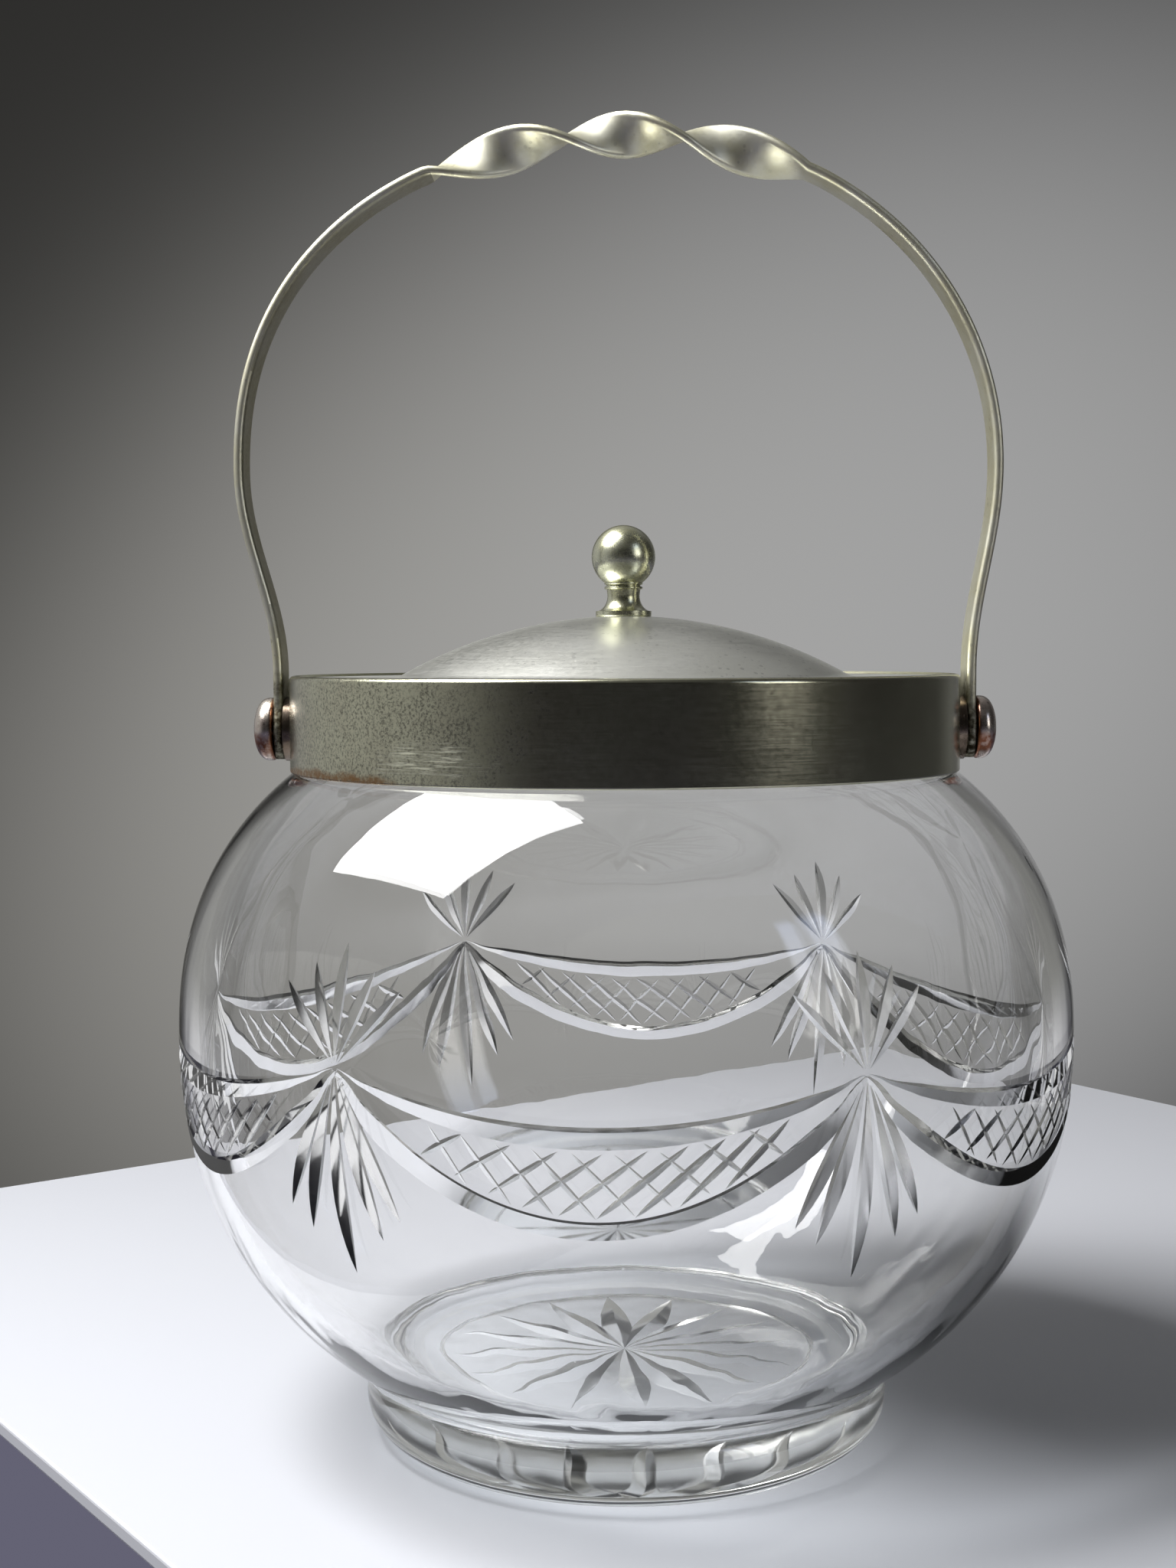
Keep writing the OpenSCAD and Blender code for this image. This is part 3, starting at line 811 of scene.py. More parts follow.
@dataclass(frozen=True)
class Plaster:
    """Old white plaster of Paris."""

    name: str = "bedding plaster"
    pale: Colour = (0.82, 0.80, 0.74)
    darker: Colour = (0.62, 0.57, 0.47)

    def mixed(self) -> Material:
        """Mixes the plaster.

        Returns:
            The plaster.
        """
        r = Recipe(bpy.data.materials.new(self.name))
        mm = r.place()
        grit = r.noise(mm, scale=2.5, detail=5.0, rough=0.7)
        tone = r.mix(r.grade(r.noise(mm, scale=0.15, detail=4.0), 0.4, 0.7), self.pale, self.darker)
        rough = r.grade(grit, 0.3, 0.7, 0.8, 0.95)
        return r.surface({"Base Color": tone, "Roughness": rough, "Normal": r.bump(grit, depth=0.12)})


# ---------------------------------------------------------------- the cut glass jar


@dataclass(frozen=True)
class Wheel:
    """The edge of a cutting wheel: how far its two faces spread for each millimetre that it goes in."""

    upper: float
    lower: float

    @property
    def spread(self) -> float:
        """The width of its cut for each millimetre of depth."""
        return self.upper + self.lower

    def groove(self, spots: Sequence[tuple[Vector, Vector]], depths: Sequence[float], lift: float = 1.2) -> Shell:
        """The body of glass that the wheel takes out along a row of spots.

        Args:
            spots: Places on the glass, each with its outward normal.
            depths: How deep the wheel goes at each spot: below 0 it is clear of the glass.
            lift: How far the body stands out of the glass.

        Returns:
            A long three-sided body.
        """
        sections = []
        for i, ((at, normal), depth) in enumerate(zip(spots, depths)):
            ahead = spots[min(i + 1, len(spots) - 1)][0] - spots[max(i - 1, 0)][0]
            side = normal.cross(ahead).normalized()
            rise = lift + depth
            top = at + normal * lift
            sections.append([at - normal * depth, top + side * rise * self.upper, top - side * rise * self.lower])
        return sweep(sections)


@dataclass(frozen=True)
class Sag:
    """A line that hangs from fan to fan: its height in the middle, and how fast it rises to both sides."""

    low: float
    rise: float

    def at(self, turn: float) -> float:
        """Its height that many degrees from the middle of its swag."""
        return self.low + self.rise * turn * turn


@dataclass
class CutGlassJar:
    """Foot, belly and neck of clear glass, with the swags, fans and star ground into them."""

    belly_r: float = 77.38
    belly_z: float = 71.0
    wall: float = 3.4
    floor: Pair = (34.0, 14.0)  # where the flat bottom of the inside ends
    floor_edge: Pair = (47.0, 17.8)  # where the bend from there meets the wall
    foot_r: float = 45.9
    foot_h: float = 11.3
    foot_edge_z: float = 6.5
    waist: float = 43.5
    rest_r: float = 38.5
    rest_w: float = 4.0
    hollow: float = 1.2
    shoulder: Pair = (57.4, 115.9)  # where the belly meets the neck
    neck_r: float = 54.4
    mouth_r: float = 51.4
    rim_z: float = 129.4
    chamfer: float = 0.6
    upper_round: Pair = (2.28, 2.32)  # the powers of radius and height
    lower_round: Pair = (2.16, 2.15)
    inner_round: Pair = (2.3, 2.2)
    steps: int = 192
    crisp: float = 24.0
    pattern_r: float = 77.0  # the radius at which the pattern's lengths are laid out
    swags: int = 6
    swag_at: float = -3.3  # the azimuth of the first swag's middle
    swag_half: float = 30.6  # degrees
    swag_taper: float = 7.0  # degrees over which the lines thin out to their ends
    fan_z: float = 76.0
    upper_line: tuple[Sag, Sag] = (Sag(69.9, 0.0068), Sag(66.6, 0.0097))
    lower_line: tuple[Sag, Sag] = (Sag(56.1, 0.0225), Sag(53.2, 0.0215))
    between: Sag = Sag((66.6 + 56.1) / 2, 0.0161)
    # two crossed sets of cuts: the middle, degrees from cut to cut, the slope, its change and the width
    hatching: tuple[tuple[float, ...], ...] = ((0.5, 4.4, 37.25, 2.2, 1.3), (1.2, 4.35, -45.8, 2.52, 0.95))
    star_r: float = 32.0
    star_depth: float = 1.9
    star_turn: float = 6.0  # the azimuth of its first groove
    star_cuts: int = 8
    star_swell: float = 2.6  # how far out a groove stays deep
    star_heart: float = 0.5  # the share of its depth that it has in the middle
    leaf_wheel: Wheel = Wheel(1.4, 1.4)
    leaf_swell: Pair = (1.3, 0.85)  # how far outwards a ray is widest, and how blunt it is
    leaf_reach: Pair = (0.97, 1.03)  # the hand's spread in length
    leaf_sway: Pair = (-0.3, 0.3)  # and to the side
    line_wheel: Wheel = Wheel(0.95, 2.15)
    line_depth: float = 1.05 / 3.2  # for each millimetre of width
    line_lean: float = 0.2  # how far above the middle the bottom line runs, for each millimetre of width
    line_end: Pair = (27.0, 0.6)  # degrees from which a line bends to the fan's heart, and how much of the way it goes
    hatch_most: float = 14.0
    hatch_step: float = 0.1
    hatch_ends: Pair = (-0.5, 0.1)  # the hand's spread in where a cut stops
    hatch_wide: Pair = (0.85, 1.15)  # and in its width
    star_wheel: Wheel = Wheel(1.75, 1.75)
    # how far each ray's tip is to the side and above the heart, and its width
    rays: tuple[tuple[float, float, float], ...] = (
        (0, 18, 2.3), (-6, 15, 2.2), (6, 15, 2.2), (-11.3, 12, 2.0), (11.3, 12, 2.0),
        (0, -31.5, 3.0), (-7.2, -26, 2.9), (7.2, -26, 2.9), (-11.2, -23, 2.6), (11.2, -23, 2.6),
    )
    finish: ClearGlass = ClearGlass()
    hand: random.Random = field(default_factory=lambda: random.Random(7))

    def outline(self) -> Outline:
        """The glass's section: under the foot, up the outside, over the rim and down the inside.

        Returns:
            The outline.
        """
        rest = self.rest_r - self.rest_w
        under = [(0.0, self.hollow), (rest - self.hollow, self.hollow), (rest, 0.0)]
        low = quarter((self.rest_r, self.foot_edge_z), self.foot_r - self.rest_r, self.foot_edge_z, -90, 0, 10)
        edge_h = self.foot_h - self.foot_edge_z
        high = quarter((self.waist, self.foot_edge_z), self.foot_r - self.waist, edge_h, 0, 90, 8)
        belly = rounded_run((self.belly_r, self.belly_z), (self.waist, self.foot_h), self.lower_round, 30)[::-1]
        shoulder = rounded_run((self.belly_r, self.belly_z), self.shoulder, self.upper_round, 26)
        rim = [
            (self.neck_r, self.shoulder[1]), (self.neck_r, self.rim_z - self.chamfer),
            (self.neck_r - self.chamfer, self.rim_z), (self.mouth_r + self.chamfer, self.rim_z),
            (self.mouth_r, self.rim_z - self.chamfer),
        ]
        inner = self.belly_r - self.wall
        inside_up = rounded_run((inner, self.belly_z), (self.mouth_r, self.shoulder[1] + 1), self.upper_round, 24)[::-1]
        inside_low = rounded_run((inner, self.belly_z), self.floor_edge, self.inner_round, 26)
        run, rise = self.floor_edge[0] - self.floor[0], self.floor_edge[1] - self.floor[1]
        bend = (run**2 + rise**2) / (2 * rise)
        tilt = math.degrees(math.asin(run / bend))
        bottom = quarter((self.floor[0], self.floor[1] + bend), bend, bend, tilt - 90, -90, 10)[1:]
        outside = under + low[:-1] + high[:-1] + belly[:-1] + shoulder + rim
        return Outline(outside + inside_up[:-1] + inside_low + bottom + [(0.0, self.floor[1])])

    def skin(self, azimuth: float, z: float) -> tuple[Vector, Vector]:
        """A spot on the outside of the belly.

        Args:
            azimuth: Degrees from the front.
            z: Height above the table.

        Returns:
            The place and the outward normal there.
        """
        above = z > self.belly_z
        end = self.shoulder if above else (self.waist, self.foot_h)
        n_r, n_z = self.upper_round if above else self.lower_round
        height = full_height((self.belly_r, self.belly_z), end, (n_r, n_z))

        def radius(at: float) -> float:
            """The belly's radius at a height."""
            return self.belly_r * (1 - min(abs(at - self.belly_z) / height, 1.0) ** n_z) ** (1 / n_r)

        turn = math.radians(azimuth)
        out = Vector((math.sin(turn), -math.cos(turn), 0.0))
        slope = (radius(z + 0.05) - radius(z - 0.05)) / 0.1
        return out * radius(z) + Vector((0.0, 0.0, z)), (out - Vector((0.0, 0.0, slope))).normalized()

    def leaf(self, fan: float, dx: float, dz: float, wide: float) -> Shell:
        """One ray of a fan: a pointed leaf from the fan's heart outwards.

        Args:
            fan: The azimuth of the fan's heart.
            dx: How far the ray's tip is to the side.
            dz: How far it is above the heart.
            wide: The ray's greatest width.

        Returns:
            The glass that the wheel takes out.
        """
        reach = self.hand.uniform(*self.leaf_reach)
        dx, dz = dx * reach + self.hand.uniform(*self.leaf_sway), dz * reach
        parts = [i / 14 for i in range(15)]
        spots = [self.skin(fan + math.degrees(dx * t / self.pattern_r), self.fan_z + dz * t) for t in parts]
        lean, fullness = self.leaf_swell
        shape = [max(math.sin(math.pi * t**lean), 0.0) ** fullness for t in parts]
        return self.leaf_wheel.groove(spots, [wide / self.leaf_wheel.spread * s - CLEAR for s in shape])

    def band(self, swag: float, upper: bool) -> Shell:
        """One long festoon line from fan to fan, steep above and broad below its bottom line.

        Args:
            swag: The azimuth of the swag's middle.
            upper: True for the upper of its two lines.

        Returns:
            The glass that the wheel takes out.
        """
        edges = self.upper_line if upper else self.lower_line
        end_from, end_share = self.line_end
        spots, depths = [], []
        for t in [i * self.swag_half / 36 for i in range(-36, 37)]:
            top, low = (edge.at(t) for edge in edges)
            taper = min(1.0, max(0.0, (self.swag_half - abs(t)) / self.swag_taper)) ** 0.6
            width = (top - low) * taper
            near = max(0.0, abs(t) - end_from) / (self.swag_half - end_from) * end_share
            middle = (top + low) / 2 + (self.fan_z - (top + low) / 2) * near
            spots.append(self.skin(swag + t, middle + width * self.line_lean))
            depths.append(width * self.line_depth - (CLEAR if taper < 1 else 0.0))
        return self.line_wheel.groove(spots, depths, lift=0.9)

    def hatch(self, swag: float, start: float, angle: float, wide: float) -> Shell:
        """One short slanting cut between the two lines of a swag.

        Args:
            swag: The azimuth of the swag's middle.
            start: The cut's middle, in degrees from there.
            angle: Its slope in degrees.
            wide: Its greatest width.

        Returns:
            The glass that the wheel takes out.
        """
        step = Vector((math.cos(math.radians(angle)), math.sin(math.radians(angle))))
        x0 = math.radians(start) * self.pattern_r

        def room(x: float, z: float) -> bool:
            """True while a place lies between the two festoon lines."""
            turn = math.degrees(x / self.pattern_r)
            return self.lower_line[0].at(turn) < z < self.upper_line[1].at(turn)

        z0 = self.between.at(start)
        ends = []
        for way in (-1, 1):
            far = 0.0
            while room(x0 + way * step.x * far, z0 + way * step.y * far) and far < self.hatch_most:
                far += self.hatch_step
            ends.append(way * (far + self.hand.uniform(*self.hatch_ends)))
        parts = [i / 10 for i in range(11)]
        spots = []
        for t in parts:
            s = ends[0] + (ends[1] - ends[0]) * t
            spots.append(self.skin(swag + math.degrees((x0 + step.x * s) / self.pattern_r), z0 + step.y * s))
        deep = wide * self.hand.uniform(*self.hatch_wide) / self.leaf_wheel.spread
        depths = [deep * max(math.sin(math.pi * t), 0.0) ** 0.6 - CLEAR for t in parts]
        return self.leaf_wheel.groove(spots, depths)

    def star(self, turn: float) -> Shell:
        """One groove of the star under the foot, right across it.

        Args:
            turn: The azimuth of one end of the groove.

        Returns:
            The glass that the wheel takes out.
        """
        way = Vector((math.sin(math.radians(turn)), -math.cos(math.radians(turn)), 0.0))
        reach = [self.star_r * (i / 16 - 1) for i in range(33)]
        spots = [(way * s + Vector((0.0, 0.0, self.hollow)), Vector((0.0, 0.0, -1.0))) for s in reach]
        parts = [abs(s / self.star_r) for s in reach]
        swell = [(1 - part**self.star_swell) * min(1.0, self.star_heart + part) for part in parts]
        depths = [self.star_depth * share - 0.03 for share in swell]
        return self.star_wheel.groove(spots, depths, lift=0.5)

    def tools(self) -> list[Workpiece]:
        """The bodies of glass that the wheels take out, family by family, none touching another of its own.

        Returns:
            One workpiece for each family, with its kind of cut as the number of its slot.
        """
        turn = 360 / self.swags
        swags = [self.swag_at + turn * k for k in range(self.swags)]
        families = [
            (Cut.HATCH, [self.hatch(s, at + gap * k, angle + lean * k, wide) for s in swags for k in range(-4, 5)])
            for at, gap, angle, lean, wide in self.hatching
        ]
        for upper in (True, False):
            families += [(Cut.BAND, [self.band(s, upper) for s in swags[odd::2]]) for odd in (0, 1)]
        families += [(Cut.LEAF, [self.leaf(s - turn / 2, *ray) for s in swags]) for ray in self.rays]
        families += [(Cut.STAR, [self.star(self.star_turn + 180 / self.star_cuts * k)]) for k in range(self.star_cuts)]
        kinds = list(Cut)
        return [
            Workpiece(f"wheel_{i}", gather(family, slot=kinds.index(cut))) for i, (cut, family) in enumerate(families)
        ]

    def build(self) -> Item:
        """Turns the blank, cuts it and polishes it.

        Returns:
            The finished glass.
        """
        outline = self.outline()
        blank = Workpiece("cut_glass", outline.turn(self.steps), [self.finish.mixed()] * len(Cut))
        blank.carve(self.tools()).polish(self.crisp, outline).tell(GROUND, [cut.value for cut in Cut])
        return blank.mount(Body.JAR, Slot.GLASS, ["glass_jar"])


# ---------------------------------------------------------------- plated parts on the neck


@dataclass
class NeckBand:
    """The plated collar that is bedded on the glass neck in plaster, with a sunk seat for the lid's brim."""

    radius: float = 58.0
    low: float = 115.9
    hem: float = 0.35
    high: float = 132.4
    seat: float = 130.9
    sheet: float = 0.9
    corner: float = 0.85
    bevel: float = 0.05
    lip_r: float = 51.4
    finish: Plate = Plate(
        "collar plate", (0.60, 0.60, 0.45), (0.50, 0.48, 0.36), rough=(0.14, 0.24), grain=Grain.ROUND_A_BAND,
        line_depth=0.002, pits=0.8, pit_depth=0.005, rubbed=Marks(-31.0, 11.0, 119.9, 3.0),
        brown_patch=Marks(-62.0, 26.0, 115.9, 1.7), pocked=Marks(-50.0, 40.0, 124.0, 14.0),
    )

    def build(self) -> Item:
        """Spins the band with a rolled lower edge and a lip over the rim.

        Returns:
            The finished collar.
        """
        inner = self.radius - self.sheet
        hem, bend = self.hem, self.corner
        rolled = quarter((self.radius - hem, self.low + hem), hem, hem, -90, 0, 5)
        corner = quarter((self.radius - bend, self.high - bend), bend, bend, 0, 90, 8)
        rim = [(inner + self.bevel, self.high - self.bevel), (inner + self.bevel, self.seat)]
        lip = [(self.lip_r, self.seat), (self.lip_r, self.seat - self.sheet), (inner, self.seat - self.sheet)]
        outline = Outline([(inner, self.low)] + rolled + corner + rim + lip, ring=True)
        return turned("collar_band", outline, 180, self.finish.mixed()).mount(Body.JAR, Slot.COLLAR, ["collar"])


@dataclass
class DomedRivet:
    """A domed rivet that a handle's eye turns on."""

    side: Side
    height: float = 123.0
    head_at: float = 61.0
    head_r: float = 5.5
    head_h: float = 3.8
    roundness: Pair = (2.2, 2.5)
    edge_h: float = 0.9
    edge_r: float = 0.6
    shank_r: float = 1.9
    tail_at: float = 56.5
    tail: tuple[Pair, ...] = ((2.8, 0.0), (2.8, 0.45), (1.4, 0.9), (0.0, 0.9))
    finish: Plate = Plate(
        "rivet plate", (0.74, 0.68, 0.60), (0.50, 0.40, 0.36), brown=(0.22, 0.085, 0.045), rough=(0.22, 0.30),
        cloud=0.25, line_depth=0.001, pit_depth=0.006, browned=(61.2, 61.8),
        brown_patch=Marks(90.0, 9.0, 120.6, 2.2, both=True),
    )

    def build(self, dressed: Material) -> Item:
        """Turns the rivet: a button head with a rolled edge, the shank and a hammered tail.

        Args:
            dressed: The plate that both rivets share.

        Returns:
            The finished rivet.
        """
        widest = (self.head_r, self.head_at + self.edge_h)
        dome = rounded_run(widest, (0.0, self.head_at + self.head_h), self.roundness, 20)[::-1]
        bend = self.edge_r
        rolled = quarter((self.head_r - bend, self.head_at + bend), bend, bend, 0, -90, 6)
        shank = [(self.shank_r, self.head_at), (self.shank_r, self.tail_at)]
        tail = [(r, self.tail_at - down) for r, down in self.tail]
        outline = Outline([(max(r, 0.0), z) for r, z in dome + rolled + shank + tail])
        name = f"rivet_{self.side.name.lower()}"
        way = Matrix.Translation((0, 0, self.height)) @ Matrix.Rotation(self.side.value * math.pi / 2, 4, "Y")
        return turned(f"{name}_turned", outline, 64, dressed).turn_to(way).mount(Body.JAR, Slot.RIVET, [name])


# ---------------------------------------------------------------- the swing handle


@dataclass
class SwingHandle:
    """A flat strip with an eye at each end, bowed over the lid and twisted at its top."""

    pivot_z: float = 123.0
    eye_x: float = 60.1
    eye_r: float = 5.3
    bore_r: float = 1.95
    wide: float = 8.0
    thick: float = 1.7
    edge: float = 0.78
    straight: float = 10.0
    shoulder_z: float = 168.0
    arch_h: float = 57.1
    top_x: float = 2.7
    bulges: Pair = (6.4, 4.4)  # how far the left and the right leg lean out
    roundness: Pair = (2.24, 2.05)  # of the left and the right half of the arch
    twist_x: float = -0.9
    twist_half: float = 32.5  # half of the twisted length
    twist: float = 540.0  # degrees
    twist_ease: float = 0.1
    dip_h: float = 0.65
    dip: Pair = (0.72, 0.375)  # its middle and half its length, as shares of twist_half
    drill_l: float = 160.0
    heart_z: float = 153.0  # the height that the strip's inner face looks to
    # its brown is painted shade: a dark tone on the inner faces of the left half, which face away from the lamps, and a
    # near-black patch round the eyes, between the rivet heads and the collar
    finish: Plate = Plate(
        "handle plate", (0.75, 0.74, 0.63), (0.65, 0.62, 0.44), brown=(0.05, 0.04, 0.024), rough=(0.42, 0.50),
        cloud=0.09, line_depth=0.0002, pits=0.25, pit_depth=0.0004, darker=0.6, glance=(0.85, 0.83, 0.74),
        brown_patch=Marks(90.0, 14.0, 119.0, 13.0, both=True),
    )

    def leg(self, side: Side, part: float) -> Vector:
        """A place on the S-shaped leg, from its foot at 0 to the shoulder at 1.

        Args:
            side: The leg's side.
            part: How far up the leg the place is.

        Returns:
            The place.
        """
        bulge = self.bulges[(side.value + 1) // 2]
        foot_z = self.pivot_z + self.straight
        x = self.eye_x + bulge * (1 - math.cos(math.pi * part)) / 2
        return Vector((side.value * x, 0.0, foot_z + (self.shoulder_z - foot_z) * part))

    def arch(self, side: Side, angle: float) -> Vector:
        """A place on the arch, from the shoulder at 0 radians to the top.

        Args:
            side: The side of the half arch.
            angle: How far up it the place is.

        Returns:
            The place.
        """
        bulge = self.bulges[(side.value + 1) // 2]
        n = self.roundness[(side.value + 1) // 2]
        width = self.eye_x + bulge - side.value * self.top_x
        x = self.top_x + side.value * width * max(math.cos(angle), 0.0) ** (2 / n)
        u = (abs(x - self.twist_x) / self.twist_half - self.dip[0]) / self.dip[1]
        dip = self.dip_h * math.cos(math.pi / 2 * u) ** 2 if abs(u) < 1 else 0.0
        return Vector((x, 0.0, self.shoulder_z + self.arch_h * math.sin(angle) ** (2 / n) - dip))

    def line(self) -> list[Vector]:
        """The strip's centre line from the left eye's lower end over the top to the right eye's.

        Returns:
            The places along it.
        """
        halves = []
        for side in (Side.LEFT, Side.RIGHT):
            eye = [
                Vector((side.value * self.eye_x, 0.0, self.pivot_z - self.eye_r * math.cos(math.radians(a))))
                for a in (3, 8, 14, 21, 29, 38, 48, 58, 69, 80, 90, 98, 106, 114, 122, 130, 140)
            ]
            foot = [Vector((side.value * self.eye_x, 0.0, self.pivot_z + h)) for h in (5.6, 7.0, 8.5)]
            legs = [self.leg(side, i / 24) for i in range(24)]
            arch = [self.arch(side, math.pi / 2 * (i / 96) ** 1.15) for i in range(96)]
            halves.append(eye + foot + legs + arch)
        return halves[0] + [self.arch(Side.LEFT, math.pi / 2)] + halves[1][::-1]

    def half_width(self, z: float) -> float:
        """Half of the strip's width at a height: the round eye, then the plain strip.

        Args:
            z: The height.

        Returns:
            Half of the width.
        """
        off = z - self.pivot_z
        eye = math.sqrt(max(self.eye_r**2 - off**2, 0.01))
        return max(eye, self.wide / 2) if off > 0 else eye

    def section(self) -> list[Pair]:
        """The strip's section with rounded edges, as shares of half the width and half the thickness.

        Returns:
            The section's corners.
        """
        w, t, e = self.wide / 2, self.thick / 2, self.edge
        corners = [(w - e, t - e, 0), (-(w - e), t - e, 90), (-(w - e), -(t - e), 180), (w - e, -(t - e), 270)]
        points: list[Pair] = []
        for x, y, start in corners:
            points += quarter((x, y), e, e, start, start + 90, 4)
            if start in (0, 180):
                way = 1 if start == 0 else -1
                points += [(way * s * (w - 1.0), way * t) for s in (1, 0, -1)]
        return [(x / w, y / t) for x, y in points]

    def build(self) -> Item:
        """Draws the strip along its line, drills the eyes and polishes it.

        Returns:
            The finished handle.
        """
        line, section = self.line(), self.section()
        stations = []
        for i, at in enumerate(line):
            ahead = line[min(i + 1, len(line) - 1)] - line[max(i - 1, 0)]
            along = ahead.normalized()
            across = Vector((-along.z, 0.0, along.x))
            v = min(1.0, max(0.0, (at.x - self.twist_x + self.twist_half) / (2 * self.twist_half)))
            turn = math.radians(self.twist * (v - self.twist_ease * math.sin(math.tau * v) / math.tau))
            wide = Vector((0.0, math.cos(turn), 0.0)) + across * math.sin(turn)
            thick = across * math.cos(turn) - Vector((0.0, math.sin(turn), 0.0))
            half = self.half_width(at.z)
            stations.append([at + wide * (w * half) + thick * (t * self.thick / 2) for w, t in section])
        drill = bmesh.new()
        bmesh.ops.create_cone(
            drill, cap_ends=True, segments=48, radius1=self.bore_r, radius2=self.bore_r, depth=self.drill_l,
            matrix=Matrix.Translation((0, 0, self.pivot_z)) @ Matrix.Rotation(math.pi / 2, 4, "Y"),
        )
        bar = sweep(stations)
        heart = Vector((0.0, 0.0, self.heart_z))
        # the inner faces of the left half, which face away from the lamps, are marked for the plate's painted shade
        for face in bar.faces:
            middle = face.calc_center_median()
            inwards = face.normal.dot((heart - middle).normalized()) > FACING_IN
            face.material_index = int(middle.x < -self.twist_half and inwards)
        strip = Workpiece("twisted_handle", bar, [self.finish.mixed()] * 2)
        strip.carve([Workpiece("drill", drill)]).polish(40).tell(SHADED_FACES, [0.0, 1.0])
        return strip.mount(Body.HANDLE, Slot.HANDLE, ["handle"])


# ---------------------------------------------------------------- the lid and its knob


@dataclass
class DomedLid:
    """A spun dome with a flat brim, and the ring soldered under it."""

    brim_r: float = 57.0
    brim_low: float = 130.95
    sheet: float = 1.0
    rise: float = 10.6
    dome_r: float = 79.0  # the radius of curvature
    foot_curve: float = 5.0  # the radius of the bend from the dome to the brim
    seat_r: float = 5.2
    hole_r: float = 1.55
    ring_r: float = 50.8
    ring_t: float = 0.9
    ring_h: float = 7.0
    finish: Plate = Plate(
        "lid plate", (0.92, 0.92, 0.86), (0.84, 0.84, 0.77), rough=(0.27, 0.37), grain=Grain.ROUND_A_DOME,
        line_depth=0.002, pits=0.3, pit_depth=0.006, cloud=0.04, buffed=(56.2, 57.0, 0.4),
    )

    @property
    def seat_z(self) -> float:
        """The height of the flat on which the knob sits."""
        return self.centre_z + math.sqrt(self.dome_r**2 - self.seat_r**2)

    @property
    def centre_z(self) -> float:
        """The height of the dome's centre of curvature."""
        return self.brim_low + self.sheet + self.rise - self.dome_r

    def curve(self, depth: float) -> list[Pair]:
        """The dome's section from the knob's seat to the brim, that deep inside the metal.

        Args:
            depth: How far under the outer face the section runs.

        Returns:
            The points.
        """
        r, foot = self.dome_r - depth, self.foot_curve + depth
        foot_z = self.brim_low + self.sheet + self.foot_curve
        foot_r = math.sqrt((self.dome_r + self.foot_curve) ** 2 - (foot_z - self.centre_z) ** 2)
        low = math.degrees(math.asin(foot_r / (self.dome_r + self.foot_curve)))
        top = math.degrees(math.acos((self.seat_z - depth - self.centre_z) / r))
        dome = quarter((0.0, self.centre_z), r, r, 90 - top, 90 - low, 30)
        return dome + quarter((foot_r, foot_z), foot, foot, 270 - low, 270, 10)[1:]

    def build(self) -> list[Item]:
        """Spins the dome and the ring.

        Returns:
            The finished lid and the finished ring.
        """
        half = self.sheet / 2
        edge = quarter((self.brim_r - half, self.brim_low + half), half, half, 90, -90, 10)
        hole = [(self.hole_r, self.seat_z - self.sheet), (self.hole_r, self.seat_z)]
        outline = Outline(hole + self.curve(0.0) + edge + self.curve(self.sheet)[::-1], ring=True)
        plate = self.finish.mixed()
        dome = turned("domed_lid", outline, 180, plate)
        inner, low = self.ring_r - self.ring_t, self.brim_low - self.ring_h
        bend = self.ring_t / 2
        rolled = quarter(((inner + self.ring_r) / 2, low + bend), bend, bend, -180, 0, 8)
        section = Outline(rolled + [(self.ring_r, self.brim_low), (inner, self.brim_low)], ring=True)
        ring = turned("locating_ring", section, 144, plate)
        return [dome.mount(Body.LID, Slot.LID, ["lid"]), ring.mount(Body.LID, Slot.LID, ["lid_bezel"])]


@dataclass
class BallKnob:
    """A turned knob: a ball over two fine beads, a waist and a spread foot."""

    seat_z: float
    ball_r: float = 5.55
    ball_z: float = 10.4
    bead_r: float = 3.35
    bead_z: float = 5.4
    bead_h: float = 0.3
    beads: Pair = (-0.36, 0.42)
    core_r: float = 2.9
    waist_r: float = 2.8
    neck_h: float = 1.65
    foot_r: float = 4.85
    foot_t: float = 1.0
    rim_r: float = 0.3
    hole_r: float = 1.55
    hole_h: float = 6.05
    finish: Plate = Plate(
        "knob plate", (0.68, 0.69, 0.54), (0.58, 0.57, 0.36), rough=(0.24, 0.30), cloud=0.2, line_depth=0.001, pits=0.2,
        pit_depth=0.008,
    )

    def build(self) -> Item:
        """Turns the knob with its blind hole for the stud.

        Returns:
            The finished knob.
        """
        low = 90 - math.degrees(math.acos(self.waist_r / self.ball_r))
        ball = quarter((0.0, self.ball_z), self.ball_r, self.ball_r, -90 + low, 90, 28)
        beads = []
        for off in self.beads:
            beads += quarter((self.core_r, self.bead_z + off), self.bead_r - self.core_r, self.bead_h, -85, 85, 8)
        neck_low = self.bead_z - self.neck_h
        foot = quarter((self.foot_r, neck_low), -(self.foot_r - self.waist_r), -(neck_low - self.foot_t), 90, 0, 12)
        bend = self.rim_r
        rim = quarter((self.foot_r - bend, bend), bend, bend, -90, 0, 5) + [(self.foot_r, self.foot_t - 0.1)]
        section = [(0.0, self.hole_h), (self.hole_r, self.hole_h), (self.hole_r, 0.0)] + rim + foot + beads + ball
        outline = Outline([(max(r, 0.0), z + self.seat_z) for r, z in section], crisp=38)
        return turned("ball_knob", outline, 72, self.finish.mixed()).mount(Body.LID, Slot.KNOB, ["knob"])


